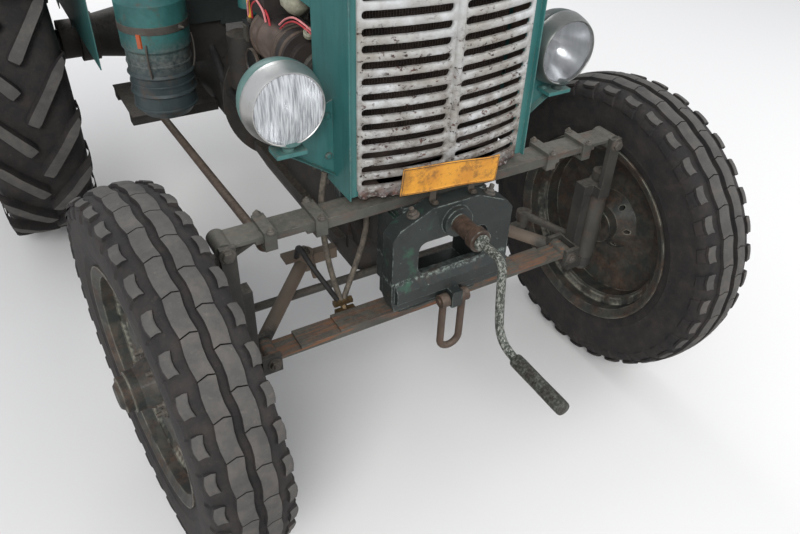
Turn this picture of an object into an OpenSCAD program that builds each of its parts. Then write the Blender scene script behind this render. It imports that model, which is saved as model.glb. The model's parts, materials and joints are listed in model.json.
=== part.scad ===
/* [Stance] */
// Distance between the front and rear wheel centres
wheelbase = 1550; // [1500:10:1700]
// Front track between the wheel mid-planes
front_track = 1267; // [1240:1:1330]
// Rear track between the wheel mid-planes
rear_track = 1492; // [1460:2:1640]
// Reach of the starting handle ahead of the front axle line
handle_tip = 536; // [500:1:560]

/* [Front wheels] */
// Outer radius of the front tyre
front_tyre_r = 427; // [415:1:440]
// Width of the front tyre
front_tyre_w = 168; // [150:1:180]
// Bead radius of the front rim
front_rim_r = 254; // [240:1:262]
// Width of the front rim
front_rim_w = 136; // [120:1:150]
// Height of the rim's lip above the bead
rim_lip = 20; // [14:1:26]

/* [Rear wheels] */
// Outer radius of the rear tyre at the lugs' tips
rear_tyre_r = 635; // [610:1:660]
// Width of the rear tyre
rear_tyre_w = 284; // [250:2:300]
// Bead radius of the rear rim
rear_rim_r = 356; // [340:1:370]
// Width of the rear rim
rear_rim_w = 236; // [200:2:250]
// Height of the tyre lugs
lug_h = 32; // [20:1:40]

/* [Steering] */
// Half distance between the king pins
kingpin_x = 520; // [500:1:530]
// Place of the king pins behind the front axle line
kingpin_y = -35; // [-45:1:-25]
// Radius of the king pins
kingpin_r = 14; // [12:0.5:16]
// Radial clearance of every running pin
fit = 0.05; // [0.02:0.01:0.1]
// Angle to the left at which the wheels stand
rest_steer = 3.6; // [0:0.1:6]
// Inward turn of each front wheel on its knuckle
toe_in = 1.6; // [0:0.1:2]
// Length of the drop arm between its shaft and the link
drop_arm_l = 220; // [200:1:240]
// Radius of the steering wheel's rim
wheel_rim_r = 210; // [190:1:225]

/* [Springs] */
// Height of the upper transverse spring
upper_spring_z = 755; // [745:1:765]
// Height of the lower transverse spring
lower_spring_z = 420; // [412:1:430]
// Half length of the upper spring to its eye
upper_eye_x = 502; // [495:1:508]
// Half length of the lower spring to its eye
lower_eye_x = 430; // [420:1:436]
// Width of the spring leaves
leaf_w = 60; // [50:1:66]
// Thickness of one leaf
leaf_t = 8; // [6:0.5:9]

/* [Bodywork] */
// Half width of the radiator shell and the bonnet
shell_half = 226; // [222:1:234]
// Height of the bonnet's top
bonnet_z = 1410; // [1380:1:1440]
// Height of the radiator shell's lower edge
shell_low_z = 775; // [770:1:785]
// Thickness of the sheet metal
sheet = 3; // [2:0.5:4]
// Half width of the grille
grille_half = 204; // [196:1:208]
// Height between two slots of the grille
slot_pitch = 31.5; // [30:0.5:35]
// Height of one slot of the grille
slot_h = 13.5; // [9:0.5:16]

/* [Lamps] */
// Half distance between the headlamps
lamp_x = 336; // [330:1:345]
// Height of the headlamps
lamp_z = 1003; // [990:1:1015]
// Radius of the lamp's rim
lamp_r = 89; // [80:1:92]

/* [Couplings] */
// Radius of the drawbar's pin bore
drawbar_bore_r = 15; // [12:0.5:18]
// Radius of the power take-off shaft
pto_r = 17.46; // [16:0.01:19]
// Radius of the belt pulley
pulley_r = 120; // [110:1:130]

/* [Hidden] */
$fn = 64;

seat_gap = 0.3;
// Height of the crankshaft
crank_z = 702;
// The front axle lies this far ahead of the middle of the whole tractor.
axle_ahead = (wheelbase + rear_tyre_r - handle_tip) / 2;
teal = "#2f6f6b";
green = "#39564c";
steel = "#77746e";
iron = "#43433f";

// Everything is drawn with y counted from the front axle line, the bonnet towards -y.
module placed() translate([0, -axle_ahead, 0]) children();

// side is -1 on the tractor's right and +1 on its left.
module both_sides() for (side = [-1, 1]) scale_side(side) children();
module scale_side(side) mirror([side > 0 ? 1 : 0, 0, 0]) children();

// A bar of round section between two points.
module rod(a, b, r) {
    d = b - a;
    translate(a) rotate([0, acos(d.z / norm(d)), atan2(d.y, d.x)]) cylinder(r = r, h = norm(d));
}

// A box given by its two corners.
module block(a, b) translate(a) cube(b - a);

// A cylinder along x or along y from its middle of one end.
module along_x(r, h) rotate([0, 90, 0]) cylinder(r = r, h = h);
module along_y(r, h) rotate([-90, 0, 0]) cylinder(r = r, h = h);

// Steered frame of one knuckle: origin on the king pin, +x inboard on the right side.
module steered(side)
    translate([side * kingpin_x, kingpin_y, 0]) rotate([0, 0, rest_steer]) scale_side(side) children();

wheel_off = front_track / 2 - kingpin_x;
// Wheel frame: origin in the wheel's middle, +z outboard.
module on_spindle()
    translate([-wheel_off, -kingpin_y, front_tyre_r]) rotate([0, 0, toe_in]) rotate([0, -90, 0]) children();
module on_rear_axle(side)
    translate([0, wheelbase, rear_tyre_r]) scale_side(side) translate([-rear_track / 2, 0, 0])
        rotate([0, -90, 0]) children();

// Turns a point of the plan about the king pin.
function turned(p, a) = [p.x * cos(a) - p.y * sin(a), p.x * sin(a) + p.y * cos(a)];

/* Engine */
engine_half = 125;
engine_y0 = 165;
engine_y1 = 790;
block_z0 = 480;
block_z1 = 870;
head_z1 = 985;
sump_z0 = 375;
head_half = 105;

module engine_block() color(iron) placed() {
    block([-engine_half, engine_y0, block_z0], [engine_half, engine_y1, block_z1]);
    translate([0, engine_y0 + 15, 0]) rotate([-90, 0, 0]) linear_extrude(engine_y1 - engine_y0 - 30)
        polygon([[-engine_half - 22, -block_z0 - 30], [engine_half + 22, -block_z0 - 30],
                 [engine_half + 22, -block_z0], [engine_half - 15, -sump_z0 - 30],
                 [engine_half - 55, -sump_z0], [-engine_half + 55, -sump_z0],
                 [-engine_half + 15, -sump_z0 - 30], [-engine_half - 22, -block_z0]]);
    // Rails that carry the engine on the front bracket
    for (side = [-1, 1]) block([side * 90 - 15, saddle_y1, 560], [side * 90 + 15, engine_y0, 690]);
    // Water inlet on the right
    block([-222, 200, 765], [-engine_half, 240, 815]);
    // Timing case
    translate([0, 130, 0]) rotate([-90, 0, 0]) linear_extrude(36)
        polygon([[-110, -500], [110, -500], [130, -620], [105, -860], [-105, -860], [-130, -620]]);
}

module cylinder_head() color(iron) placed() {
    block([-head_half, engine_y0 + 5, block_z1], [head_half, engine_y1 - 10, head_z1]);
    block([-72, engine_y0 + 35, head_z1], [72, engine_y1 - 45, head_z1 + 70]);
    for (i = [0:3]) translate([-40, 250 + i * 145, head_z1 + 70]) cylinder(r = 14, h = 22);
}

port_pitch = 145;
stack_x = 175;
stack_y = 560;
stack_r = 24;
module manifold() color("#5d4636") placed() {
    for (i = [0:3]) translate([head_half, 250 + i * port_pitch, 930]) along_x(24, stack_x - head_half);
    translate([stack_x, 226, 930]) along_y(30, 3 * port_pitch + 48);
    translate([stack_x, stack_y, 930]) cylinder(r = stack_r, h = 820);
    translate([stack_x, stack_y, 1440]) cylinder(r = 42, h = 200);
}

module injection_pump() color("#5f6663") placed() {
    block([-engine_half - 70, 440, 640], [-engine_half, 640, 740]);
    for (i = [0:3]) translate([-engine_half - 38, 470 + i * 46, 740]) cylinder(r = 12, h = 50);
    translate([-engine_half - 45, 720, 720]) cylinder(r = 42, h = 150);
    block([-engine_half - 45, 690, 730], [-engine_half, 750, 760]);
}

dynamo_x = -200;
dynamo_z = 985;
module dynamo() color("#6b5a4a") placed() {
    translate([dynamo_x, 200, dynamo_z]) along_y(58, 190);
    translate([dynamo_x, 185, dynamo_z]) along_y(40, 15);
    block([dynamo_x, 230, dynamo_z - 40], [-105, 290, dynamo_z - 10]);
    // Regulator box on the dynamo's back
    block([dynamo_x - 40, 330, dynamo_z + 50], [dynamo_x + 40, 420, dynamo_z + 105]);
}

fan_y = 95;
fan_z = 960;
module fan() color("#3a3a38") placed() {
    translate([0, fan_y, fan_z]) along_y(45, engine_y0 + 5 - seat_gap - fan_y);
    for (a = [0:60:300]) translate([0, fan_y + 5, fan_z]) rotate([0, a, 0]) rotate([0, 0, 25])
        block([-22, -2, 30], [22, 2, 158]);
    translate([0, 84, crank_z]) along_y(pulleys[0].x, 46 - seat_gap);
    translate([dynamo_x, belt_y - 1, dynamo_z]) along_y(pulleys[2].x, belt_w + 2);
    translate([dynamo_x, belt_y, dynamo_z]) along_y(12, 185 - seat_gap - belt_y);
    // Belt round the three pulleys
    translate([0, belt_y + belt_w, 0]) rotate([90, 0, 0]) linear_extrude(belt_w) difference() {
        belt_line(belt_t);
        belt_line(-1);
    }
}
belt_y = 114;
belt_w = 13;
belt_t = 8;
// Pulleys of the fan belt: radius, x, z
pulleys = [[62, 0, crank_z], [45, 0, fan_z], [38, dynamo_x, dynamo_z]];
module belt_line(out) hull() for (p = pulleys) translate([p.y, p.z]) circle(r = p.x + out, $fn = 32);

core_y0 = 20;
core_y1 = 80;
tank_half = shell_half - sheet - seat_gap;
module radiator() color("#2e2e2c") placed() {
    block([-190, core_y0, 850], [190, core_y1, 1250]);
    block([-tank_half, core_y0 - 8, 1250], [tank_half, core_y1 + 8, bonnet_z - corner_r - 5]);
    block([-tank_half, core_y0 - 8, 795], [tank_half, core_y1 + 8, 850]);
    translate([60, core_y1, 1278]) along_y(24, 110);
    translate([60, 190, 1278]) sphere(r = 26);
    rod([60, 190, 1278], [60, 232, head_z1 + 90], 23);
    translate([60, 232, head_z1 + 70 + seat_gap]) cylinder(r = 25, h = 40);
    rod([-195, core_y1, 820], [-195, 175, 790], 22);
    translate([-195, 165, 790]) along_y(24, 35 - seat_gap);
}

/* Radiator shell and grille */
shell_y0 = -52;
shell_y1 = 112;
corner_r = 95;
module shell_outline(inset) {
    w = shell_half - inset;
    r = corner_r - inset;
    translate([-w, shell_low_z]) square([2 * w, bonnet_z - corner_r - shell_low_z]);
    translate([-w + r, bonnet_z - corner_r]) square([2 * (w - r), r]);
    for (side = [-1, 1]) translate([side * (w - r), bonnet_z - corner_r]) circle(r = r);
}

module radiator_shell() color(teal) placed() {
    translate([0, shell_y1, 0]) rotate([90, 0, 0]) linear_extrude(shell_y1 - shell_y0) difference() {
        shell_outline(0);
        translate([0, -1]) shell_outline(sheet);
    }
    // Flange that the grille is fixed to
    translate([0, -41 + seat_gap + sheet, 0]) rotate([90, 0, 0]) linear_extrude(sheet) difference() {
        shell_outline(1);
        translate([-grille_half + 10, shell_low_z - 5])
            square([2 * grille_half - 20, grille_top - shell_low_z - 5]);
    }
}

grille_top = 1345;
grille_low = 790;
slot_z0 = grille_low + 9;
slot_rows = floor((grille_top - slot_z0 - 4) / slot_pitch);
module grille() color("#c9c6bd") placed() {
    difference() {
        translate([0, 0, grille_low]) linear_extrude(grille_top - grille_low) grille_plan(0);
        for (row = [0:slot_rows - 1]) for (side = [-1, 1])
            translate([side * (slot_x0 + slot_x1) / 2, -30, slot_z0 + row * slot_pitch + slot_h / 2])
                rotate([90, 0, 0]) linear_extrude(120) slot(slot_x1 - slot_x0, slot_h);
    }
}
slot_x0 = 20;
slot_x1 = grille_half - 9;
module slot(length, height) {
    square([length - height, height], center = true);
    for (side = [-1, 1]) translate([side * (length - height) / 2, 0]) circle(d = height);
}
// Plan of the bowed plate: two flats that meet at the middle strip.
module grille_plan(inset)
    polygon([[-grille_half, -45], [-110, -66], [-16, -76], [0, -88], [16, -76], [110, -66],
             [grille_half, -45], [grille_half, -41], [110, -62], [0, -73], [-110, -62], [-grille_half, -41]]);

plate_w = 262;
plate_h = 66;
plate_y = -98;
plate_tilt = 6;
module number_plate() color("#c08a2a") placed() {
    translate([0, plate_y, 777]) rotate([0, plate_tilt, 0])
        block([-plate_w / 2, 0, 0], [plate_w / 2, 2.5, plate_h]);
    // Straps up from the bracket's shoulders
    for (side = [-1, 1]) {
        block([side * 50 - 8, -112, 748 + seat_gap], [side * 50 + 8, plate_y + 5, 752]);
        block([side * 50 - 8, plate_y + 2, 748 + seat_gap], [side * 50 + 8, plate_y + 5, 810]);
    }
}

/* Headlamps */
gusset_y = 20;
module lamp_brackets() color(teal) placed() both_sides() {
    translate([0, gusset_y + 4, 0]) rotate([90, 0, 0]) linear_extrude(4)
        polygon([[-shell_half, 800], [-shell_half, 975], [-(lamp_x + 22), 878], [-(lamp_x + 22), 858]]);
    translate([-lamp_x, gusset_y - 26, 868]) cylinder(r = 13, h = lamp_z - lamp_r - 6 - 868);
    block([-(lamp_x + 22), gusset_y - 42, 860], [-(lamp_x - 40), gusset_y, 868]);
}

lamp_y = -25;
module on_lamps() both_sides() translate([-lamp_x, lamp_y, lamp_z]) children();
module headlamps() color("#4c7a74") placed() on_lamps() {
    lamp_bowl();
    translate([0, gusset_y - 26 - lamp_y, -lamp_r - 6]) cylinder(r = 11, h = 40);
}
lens_r = 77;
module lamp_bowl() rotate([-90, 0, 0]) rotate_extrude()
    polygon([[0, 6], [lens_r + 0.3, 6], [lens_r + 0.3, 0], [lens_r + 3, -3], [lens_r + 6, 0],
             [lamp_r - 2, 26], [lamp_r, 42], [lamp_r - 2, 45], [lamp_r - 5, 64], [lamp_r - 14, 84],
             [lamp_r - 34, 102], [lamp_r - 62, 111], [0, 114]]);

module lamp_lenses() color("#dfe6e8") placed() on_lamps() rotate([-90, 0, 0]) rotate_extrude()
    polygon([[0, -10], [40, -7], [lens_r, 1], [lens_r, 5.7], [0, 5.7]]);

/* Bonnet, tank and dash */
bonnet_y1 = 900;
bonnet_low = 1125;
module bonnet() color(teal) placed() difference() {
    translate([0, bonnet_y1, 0]) rotate([90, 0, 0]) linear_extrude(bonnet_y1 - shell_y1 - seat_gap)
        difference() {
            bonnet_outline(0);
            translate([0, -1]) bonnet_outline(sheet);
        }
    translate([stack_x, stack_y, bonnet_z - 60]) cylinder(r = stack_r + 8, h = 100);
    translate([0, filler_y, bonnet_z - 20]) cylinder(r = filler_r + 5, h = 40);
}
module bonnet_outline(inset) {
    w = shell_half - inset;
    r = corner_r - inset;
    translate([-w, bonnet_low]) square([2 * w, bonnet_z - corner_r - bonnet_low]);
    translate([-w + r, bonnet_z - corner_r]) square([2 * (w - r), r]);
    for (side = [-1, 1]) translate([side * (w - r), bonnet_z - corner_r]) circle(r = r);
}

tank_y0 = 620;
filler_y = 760;
filler_r = 34;
module fuel_tank() color("#2d5f5b") placed() {
    difference() {
        block([-200, tank_y0, 1150], [200, bonnet_y1 - seat_gap, 1370]);
        translate([stack_x, stack_y, 1100]) cylinder(r = 75, h = 300);
    }
    translate([0, filler_y, 1370]) cylinder(r = filler_r, h = 75);
}

module dash() color(teal) placed() {
    translate([0, bonnet_y1 + 6, 0]) rotate([90, 0, 0]) linear_extrude(6) bonnet_outline(0);
    block([-170, bonnet_y1, 838], [170, bonnet_y1 + 6, bonnet_low]);
    for (x = [-90, 0, 90]) translate([x, bonnet_y1 - seat_gap + 0.6, 1290]) along_y(30, 14);
    // Side plate that carries the air cleaner
    block([cleaner_x - 60, bonnet_y1, 850], [-170, bonnet_y1 + 6, 965]);
}

/* Air cleaner on the right of the engine */
cleaner_x = -392;
cleaner_y = 760;
module air_cleaner() color("#3f7470") placed() {
    translate([cleaner_x, cleaner_y, 0]) rotate_extrude()
        polygon([[0, 672], [66, 676], [84, 700], [84, 738], [89, 744], [84, 750], [84, 790], [89, 796],
                 [84, 802], [84, 860], [90, 868], [90, 985], [60, 1015], [0, 1020]]);
    translate([cleaner_x, cleaner_y, 1000]) cylinder(r = 34, h = 90);
    rod([cleaner_x, cleaner_y, 1060], [-150, 690, 1060], 28);
    translate([-150, 690, 950]) cylinder(r = 29.5, h = 141);
    rod([-150, 690, 950], [-head_half - seat_gap, 690, 950], 27);
    block([cleaner_x - 30, cleaner_y + 70, 870], [cleaner_x + 30, bonnet_y1 - seat_gap, 950]);
}

/* Front bracket, springs, king-pin carriers */
bracket_y0 = -118;
bracket_y1 = -74;
saddle_y1 = 24;
wall_t = 18;
apron_t = 14;
window_r = 22;
// Window of the bracket: half width, lower edge, upper edge
window = [92, 578, 664];
module bracket_window() {
    for (side = [-1, 1]) for (z = [window.y + window_r, window.z - window_r])
        translate([side * (window.x - window_r), z]) circle(r = window_r);
    translate([-window.x, window.y + window_r]) square([2 * window.x, window.z - window.y - 2 * window_r]);
    translate([-window.x + window_r, window.y]) square([2 * (window.x - window_r), window.z - window.y]);
}
module front_bracket() color(green) placed() {
    difference() {
        union() {
            translate([0, bracket_y1, 0]) rotate([90, 0, 0]) linear_extrude(bracket_y1 - bracket_y0)
                polygon([[-150, 492], [150, 492], [158, 520], [158, 690], [140, 712], [60, 748], [-60, 748],
                         [-140, 712], [-158, 690], [-158, 520]]);
            // Apron whose crease juts out below the window
            translate([-150, 0, 0]) rotate([90, 0, 90]) linear_extrude(300)
                polygon([[bracket_y0 + 1, 514], [bracket_y0 - apron_t, 522], [bracket_y0 - apron_t, 552],
                         [bracket_y0 + 1, 572]]);
        }
        translate([0, bracket_y1 + 1, 0]) rotate([90, 0, 0]) linear_extrude(100) bracket_window();
        block([-96, bracket_y0 + wall_t, 520], [96, bracket_y1 + 1, 690]);
        translate([0, bracket_y0 - 1, crank_z]) along_y(15, 100);
    }
    // Saddles that hold the springs
    block([-110, bracket_y1, upper_spring_z - 55], [110, saddle_y1, upper_spring_z - leaf_t * 2.5]);
    block([-110, bracket_y1, lower_spring_z + leaf_t * 2.5], [110, saddle_y1, 500]);
    for (side = [-1, 1]) block([side * 110 - 9, bracket_y1, 495], [side * 110 + 9, saddle_y1, 700]);
    // Cross bar that carries the radiator shell
    block([-110, -2, 700], [110, saddle_y1, shell_low_z - 20]);
    block([-shell_half, -2, shell_low_z - 22], [shell_half, saddle_y1, shell_low_z - seat_gap]);
    // Guide tube of the starting handle
    difference() {
        union() {
            translate([0, -205, crank_z]) along_y(21, 100);
            translate([0, bracket_y0 - 14, crank_z]) along_y(36, 15);
            translate([0, -213, crank_z]) along_y(26, 22);
        }
        translate([0, -214, crank_z]) along_y(13 + fit, 130);
    }
    // Lug of the tow shackle
    difference() {
        block([-14, -154, 476], [14, bracket_y0, 520]);
        translate([-20, shackle_y, shackle_z]) along_x(8 + fit, 40);
    }
}

spring_y = kingpin_y;
upper_leaves = [[upper_eye_x, 0], [440, -1], [330, -2]];
lower_leaves = [[lower_eye_x, 0], [360, 1], [260, 2]];
module spring_pack(leaves, z) {
    for (leaf = leaves) translate([0, 0, z + leaf[1] * leaf_t])
        block([-leaf[0], spring_y - leaf_w / 2, -leaf_t / 2], [leaf[0], spring_y + leaf_w / 2, leaf_t / 2]);
}
module leaf_springs() color(steel) placed() {
    difference() {
        union() {
            spring_pack(upper_leaves, upper_spring_z);
            both_sides() translate([-upper_eye_x, spring_y - leaf_w / 2, upper_spring_z - 8])
                along_y(19, leaf_w);
        }
        both_sides() translate([-upper_eye_x, spring_y - leaf_w, upper_spring_z - 8]) along_y(9, 2 * leaf_w);
    }
    difference() {
        union() {
            spring_pack(lower_leaves, lower_spring_z);
            both_sides() translate([-lower_eye_x, spring_y - leaf_w / 2, lower_spring_z]) along_y(19, leaf_w);
        }
        both_sides() translate([-lower_eye_x, spring_y - leaf_w, lower_spring_z]) along_y(9, 2 * leaf_w);
    }
    // Clamps that hold the leaves together
    both_sides() for (x = [410, 300]) difference() {
        block([-x - 13, spring_y - leaf_w / 2 - 7, upper_spring_z - 30],
              [-x + 13, spring_y + leaf_w / 2 + 7, upper_spring_z + 14]);
        block([-x - 14, spring_y - leaf_w / 2, upper_spring_z - 2.5 * leaf_t],
              [-x + 14, spring_y + leaf_w / 2, upper_spring_z + leaf_t / 2]);
    }
}

barrel_r = 29;
barrel_z0 = 382;
barrel_z1 = 592;
lug_t = 30;
lug_gap = 0.3;
module carrier() {
    difference() {
        union() {
            // Lower and upper lugs round the king pin
            for (z = [barrel_z0 - lug_gap - lug_t, barrel_z1 + lug_gap]) {
                translate([-kingpin_x, kingpin_y, z]) cylinder(r = 27, h = lug_t);
                block([-kingpin_x, kingpin_y - 18, z], [-kingpin_x + 66, kingpin_y + 18, z + lug_t]);
            }
            block([-kingpin_x + 40, kingpin_y - 18, barrel_z0 - lug_gap - lug_t],
                  [-kingpin_x + 66, kingpin_y + 18, barrel_z1 + lug_gap + lug_t]);
            // Swan neck up to the upper spring's eye, ahead of the king pin
            block([-kingpin_x + 4, kingpin_y - leaf_w / 2 - 14, barrel_z1 + lug_gap],
                  [-kingpin_x + 36, kingpin_y - leaf_w / 2 - 0.3, upper_spring_z + 8]);
            block([-kingpin_x + 2, kingpin_y - leaf_w / 2 - 14, barrel_z1 + lug_gap],
                  [-kingpin_x + 38, kingpin_y, barrel_z1 + lug_gap + lug_t]);
        }
        translate([-kingpin_x, kingpin_y, 300]) cylinder(r = kingpin_r + fit, h = 400);
    }
    // Pin in the upper spring's eye
    translate([-upper_eye_x, kingpin_y - leaf_w / 2 - 12, upper_spring_z - 8]) along_y(9 - fit, leaf_w + 22);
    // Fork round the lower spring's eye, with its pin
    for (y = [kingpin_y - leaf_w / 2 - 12.3, kingpin_y + leaf_w / 2 + 0.3])
        block([-lower_eye_x - 28, y, lower_spring_z - 24], [-lower_eye_x + 18, y + 12, lower_spring_z + 24]);
    block([-kingpin_x + 62, kingpin_y - leaf_w / 2 - 12.3, lower_spring_z - 24],
          [-lower_eye_x - 21, kingpin_y + leaf_w / 2 + 12.3, lower_spring_z + 24]);
    translate([-lower_eye_x, kingpin_y - leaf_w / 2 - 12, lower_spring_z]) along_y(9 - fit, leaf_w + 24);
    // Radius arm back to the engine's side
    rod([-lower_eye_x + 4, kingpin_y + leaf_w / 2 + 18, lower_spring_z - 10], [-235, 200, 462], 17);
    translate([-235, 200, 440]) cylinder(r = 26, h = 44);
    block([-235, 188, 446], [-engine_half - 22 - seat_gap, 212, 478]);
    // Flange and finger on the arm's head
    block([-292, 180, 476], [-225, 218, 486]);
    rod([-222, 196, 470], [-210, 188, 404], 9);
}
module kingpin_carriers() color("#4a4a46") placed() both_sides() carrier();

/* Starting handle and tow shackle */
crank_bend = 308;
grip_z = 497;
module starting_handle() color("#59655c") placed() {
    translate([0, -288, crank_z]) along_y(13, 200);
    translate([0, -222, crank_z]) along_y(20, 8.7);
    translate([0, -288, crank_z]) sphere(r = 16);
    rod([0, -288, crank_z], [0, -crank_bend, 560], 12.5);
    rod([0, -crank_bend, 560], [0, -330, grip_z + 8], 12.5);
    translate([0, -crank_bend, 560]) sphere(r = 13.5);
    translate([0, -332, grip_z + 6]) sphere(r = 14);
    rod([0, -332, grip_z + 6], [0, -384, grip_z], 12.5);
    translate([0, -handle_tip, grip_z]) along_y(17, handle_tip - 376);
}

shackle_y = -136;
shackle_z = 492;
bow_r = 27;
bow_z = 366;
module tow_shackle() color("#6a4a36") placed() {
    translate([-bow_r - 16, shackle_y, shackle_z]) along_x(8, 2 * bow_r + 32);
    both_sides() {
        translate([-bow_r, shackle_y, bow_z]) cylinder(r = 9, h = shackle_z - bow_z);
        translate([-bow_r - 11, shackle_y, shackle_z]) along_x(17, 22);
    }
    translate([0, shackle_y, bow_z]) rotate([90, 0, 0]) difference() {
        rotate_extrude() translate([bow_r, 0]) circle(r = 9);
        translate([-60, 0, -30]) cube([120, 60, 60]);
    }
}

/* Knuckles, drawn for the right side */
spindle_r = 20;
hub_end = 98;
link_arm = [134, 60];
link_z = 690;
track_arm = [52, 202];
track_z = 400;
arm_r = 11.5;
post_z = barrel_z1 + lug_t + 1;
module knuckle() {
    translate([0, 0, barrel_z0]) cylinder(r = barrel_r, h = barrel_z1 - barrel_z0);
    translate([0, 0, barrel_z0 - lug_t - 14]) {
        cylinder(r = kingpin_r, h = barrel_z1 - barrel_z0 + 2 * lug_t + 24);
        cylinder(r = kingpin_r + 8, h = 13);
    }
    translate([0, 0, post_z]) cylinder(r = kingpin_r + 8, h = 26);
    on_spindle() {
        translate([0, 0, -(wheel_off - 12)]) cylinder(r = 33, h = 44);
        translate([0, 0, -(wheel_off - 12)]) cylinder(r = spindle_r, h = wheel_off - 12 + hub_end - 1);
    }
    block([-28, -10, front_tyre_r - 30], [8, 48, front_tyre_r + 30]);
    // Track arm to the tie rod
    rod([4, 12, track_z + 14], [track_arm.x, track_arm.y, track_z + 14], arm_r);
    translate([track_arm.x, track_arm.y, track_z]) cylinder(r = 22, h = 24);
}
module knuckle_right() color("#46453f") placed() steered(-1) {
    knuckle();
    translate([0, 0, post_z]) cylinder(r = kingpin_r + 8, h = link_z + 24 - post_z);
    rod([0, 0, link_z + 13], [link_arm.x, link_arm.y, link_z + 13], 12);
    translate([link_arm.x, link_arm.y, link_z]) cylinder(r = 20, h = 24);
}
module knuckle_left() color("#46453f") placed() steered(1) knuckle();

/* Steering links: their ends move with the arms at the rest angle */
link_ball = [-kingpin_x, kingpin_y] + turned(link_arm, rest_steer);
track_ball = [-kingpin_x, kingpin_y] + turned(track_arm, rest_steer);
track_left = [kingpin_x, kingpin_y] + turned([-track_arm.x, track_arm.y], rest_steer);
drop_x = -356;
drop_y = engine_y1 + 175;
eye_gap = 1;
drop_z = 800;
drop_rest = asin((turned(link_arm, rest_steer).y - link_arm.y) / drop_arm_l);
drop_end = [drop_x, drop_y + drop_arm_l * sin(drop_rest), drop_z - drop_arm_l * cos(drop_rest)];

module ball_housing(r, h) {
    translate([0, 0, -h]) cylinder(r = r, h = h);
    translate([0, 0, -h]) sphere(r = r);
}
module drag_link() color("#4d413a") placed() {
    translate([link_ball.x, link_ball.y, link_z - lug_gap]) ball_housing(19, 20);
    rod([link_ball.x, link_ball.y, link_z - 20], [drop_x - 28, drop_end.y, drop_end.z], 11);
    translate([drop_x - 12 - eye_gap - 26, drop_end.y, drop_end.z]) along_x(19, 26);
}
module tie_rod() color("#4d4a45") placed() {
    for (p = [track_ball, track_left]) translate([p.x, p.y, track_z - lug_gap]) ball_housing(18, 19);
    rod([track_ball.x, track_ball.y, track_z - 19], [track_left.x, track_left.y, track_z - 19], 11);
}
module drop_arm() color("#46453f") placed() {
    translate([drop_x - 12, drop_y, drop_z]) along_x(30, 24);
    translate([drop_x, drop_y, drop_z]) along_x(14, 60);
    translate([drop_end.x - 12, drop_end.y, drop_end.z]) along_x(22, 24);
    rod([drop_x, drop_y, drop_z], drop_end, 10);
}

column_foot = [-180, 985, 850];
column_top = [-60, 1330, 1365];
module steering_box() color(iron) placed() {
    difference() {
        union() {
            block([-335, 922, 730], [-150 - seat_gap, 1015, 870]);
            translate([drop_x + 12 + seat_gap, drop_y, drop_z]) along_x(24, 30);
        }
        translate([drop_x, drop_y, drop_z]) along_x(14 + fit, 62);
    }
    rod(column_foot, column_top, 20);
}
column_dir = (column_top - column_foot) / norm(column_top - column_foot);
module steering_wheel() color("#2b2a28") placed()
    translate(column_top) rotate([0, acos(column_dir.z), atan2(column_dir.y, column_dir.x)]) {
        translate([0, 0, 0.3]) cylinder(r = 34, h = 40);
        translate([0, 0, 55]) rotate_extrude() translate([wheel_rim_r, 0]) circle(r = 13);
        for (a = [90, 210, 330]) rotate([0, 0, a]) rod([20, 0, 24], [wheel_rim_r, 0, 55], 8);
    }

/* Transmission and rear axle */
// Front and rear faces of the axle's case
case_y0 = wheelbase - 150;
case_y1 = wheelbase + 170;
module transmission() color(iron) placed() {
    translate([0, engine_y1, 640]) rotate([-90, 0, 0]) cylinder(r1 = 225, r2 = 190, h = 130);
    block([-150, engine_y1 + 120, 480], [150, case_y0, 800]);
    block([-90, case_y0 - 220, 800], [90, case_y0 - 20, 840]);
    // Side case of the belt pulley's drive
    difference() {
        block([140, pulley_at.y - side_case_half, 590], [pulley_at.x, pulley_at.y + side_case_half, 730]);
        translate([pulley_at.x - 57, pulley_at.y, pulley_at.z]) along_x(pulley_shaft_r + fit, 60);
    }
}
shaft_r = 36;
pto_bearing_r = 22;
shaft_x0 = 470;
module rear_axle() color(iron) placed() {
    block([-175, case_y0, 450], [175, case_y1, 850]);
    both_sides() translate([0, wheelbase, rear_tyre_r]) rotate([0, -90, 0]) difference() {
        union() {
            translate([0, 0, 150]) cylinder(r1 = 120, r2 = 72, h = 300);
            translate([0, 0, 440]) cylinder(r = 82, h = 60);
            translate([0, 0, 490]) cylinder(r = 66, h = 70);
        }
        translate([0, 0, shaft_x0 - 5]) cylinder(r = shaft_r + fit, h = 100);
    }
    translate([0, case_y1, 600]) rotate([-90, 0, 0]) difference() {
        cylinder(r = 60, h = 40);
        translate([0, 0, -1]) cylinder(r = pto_bearing_r + fit, h = 42);
    }
}

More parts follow.
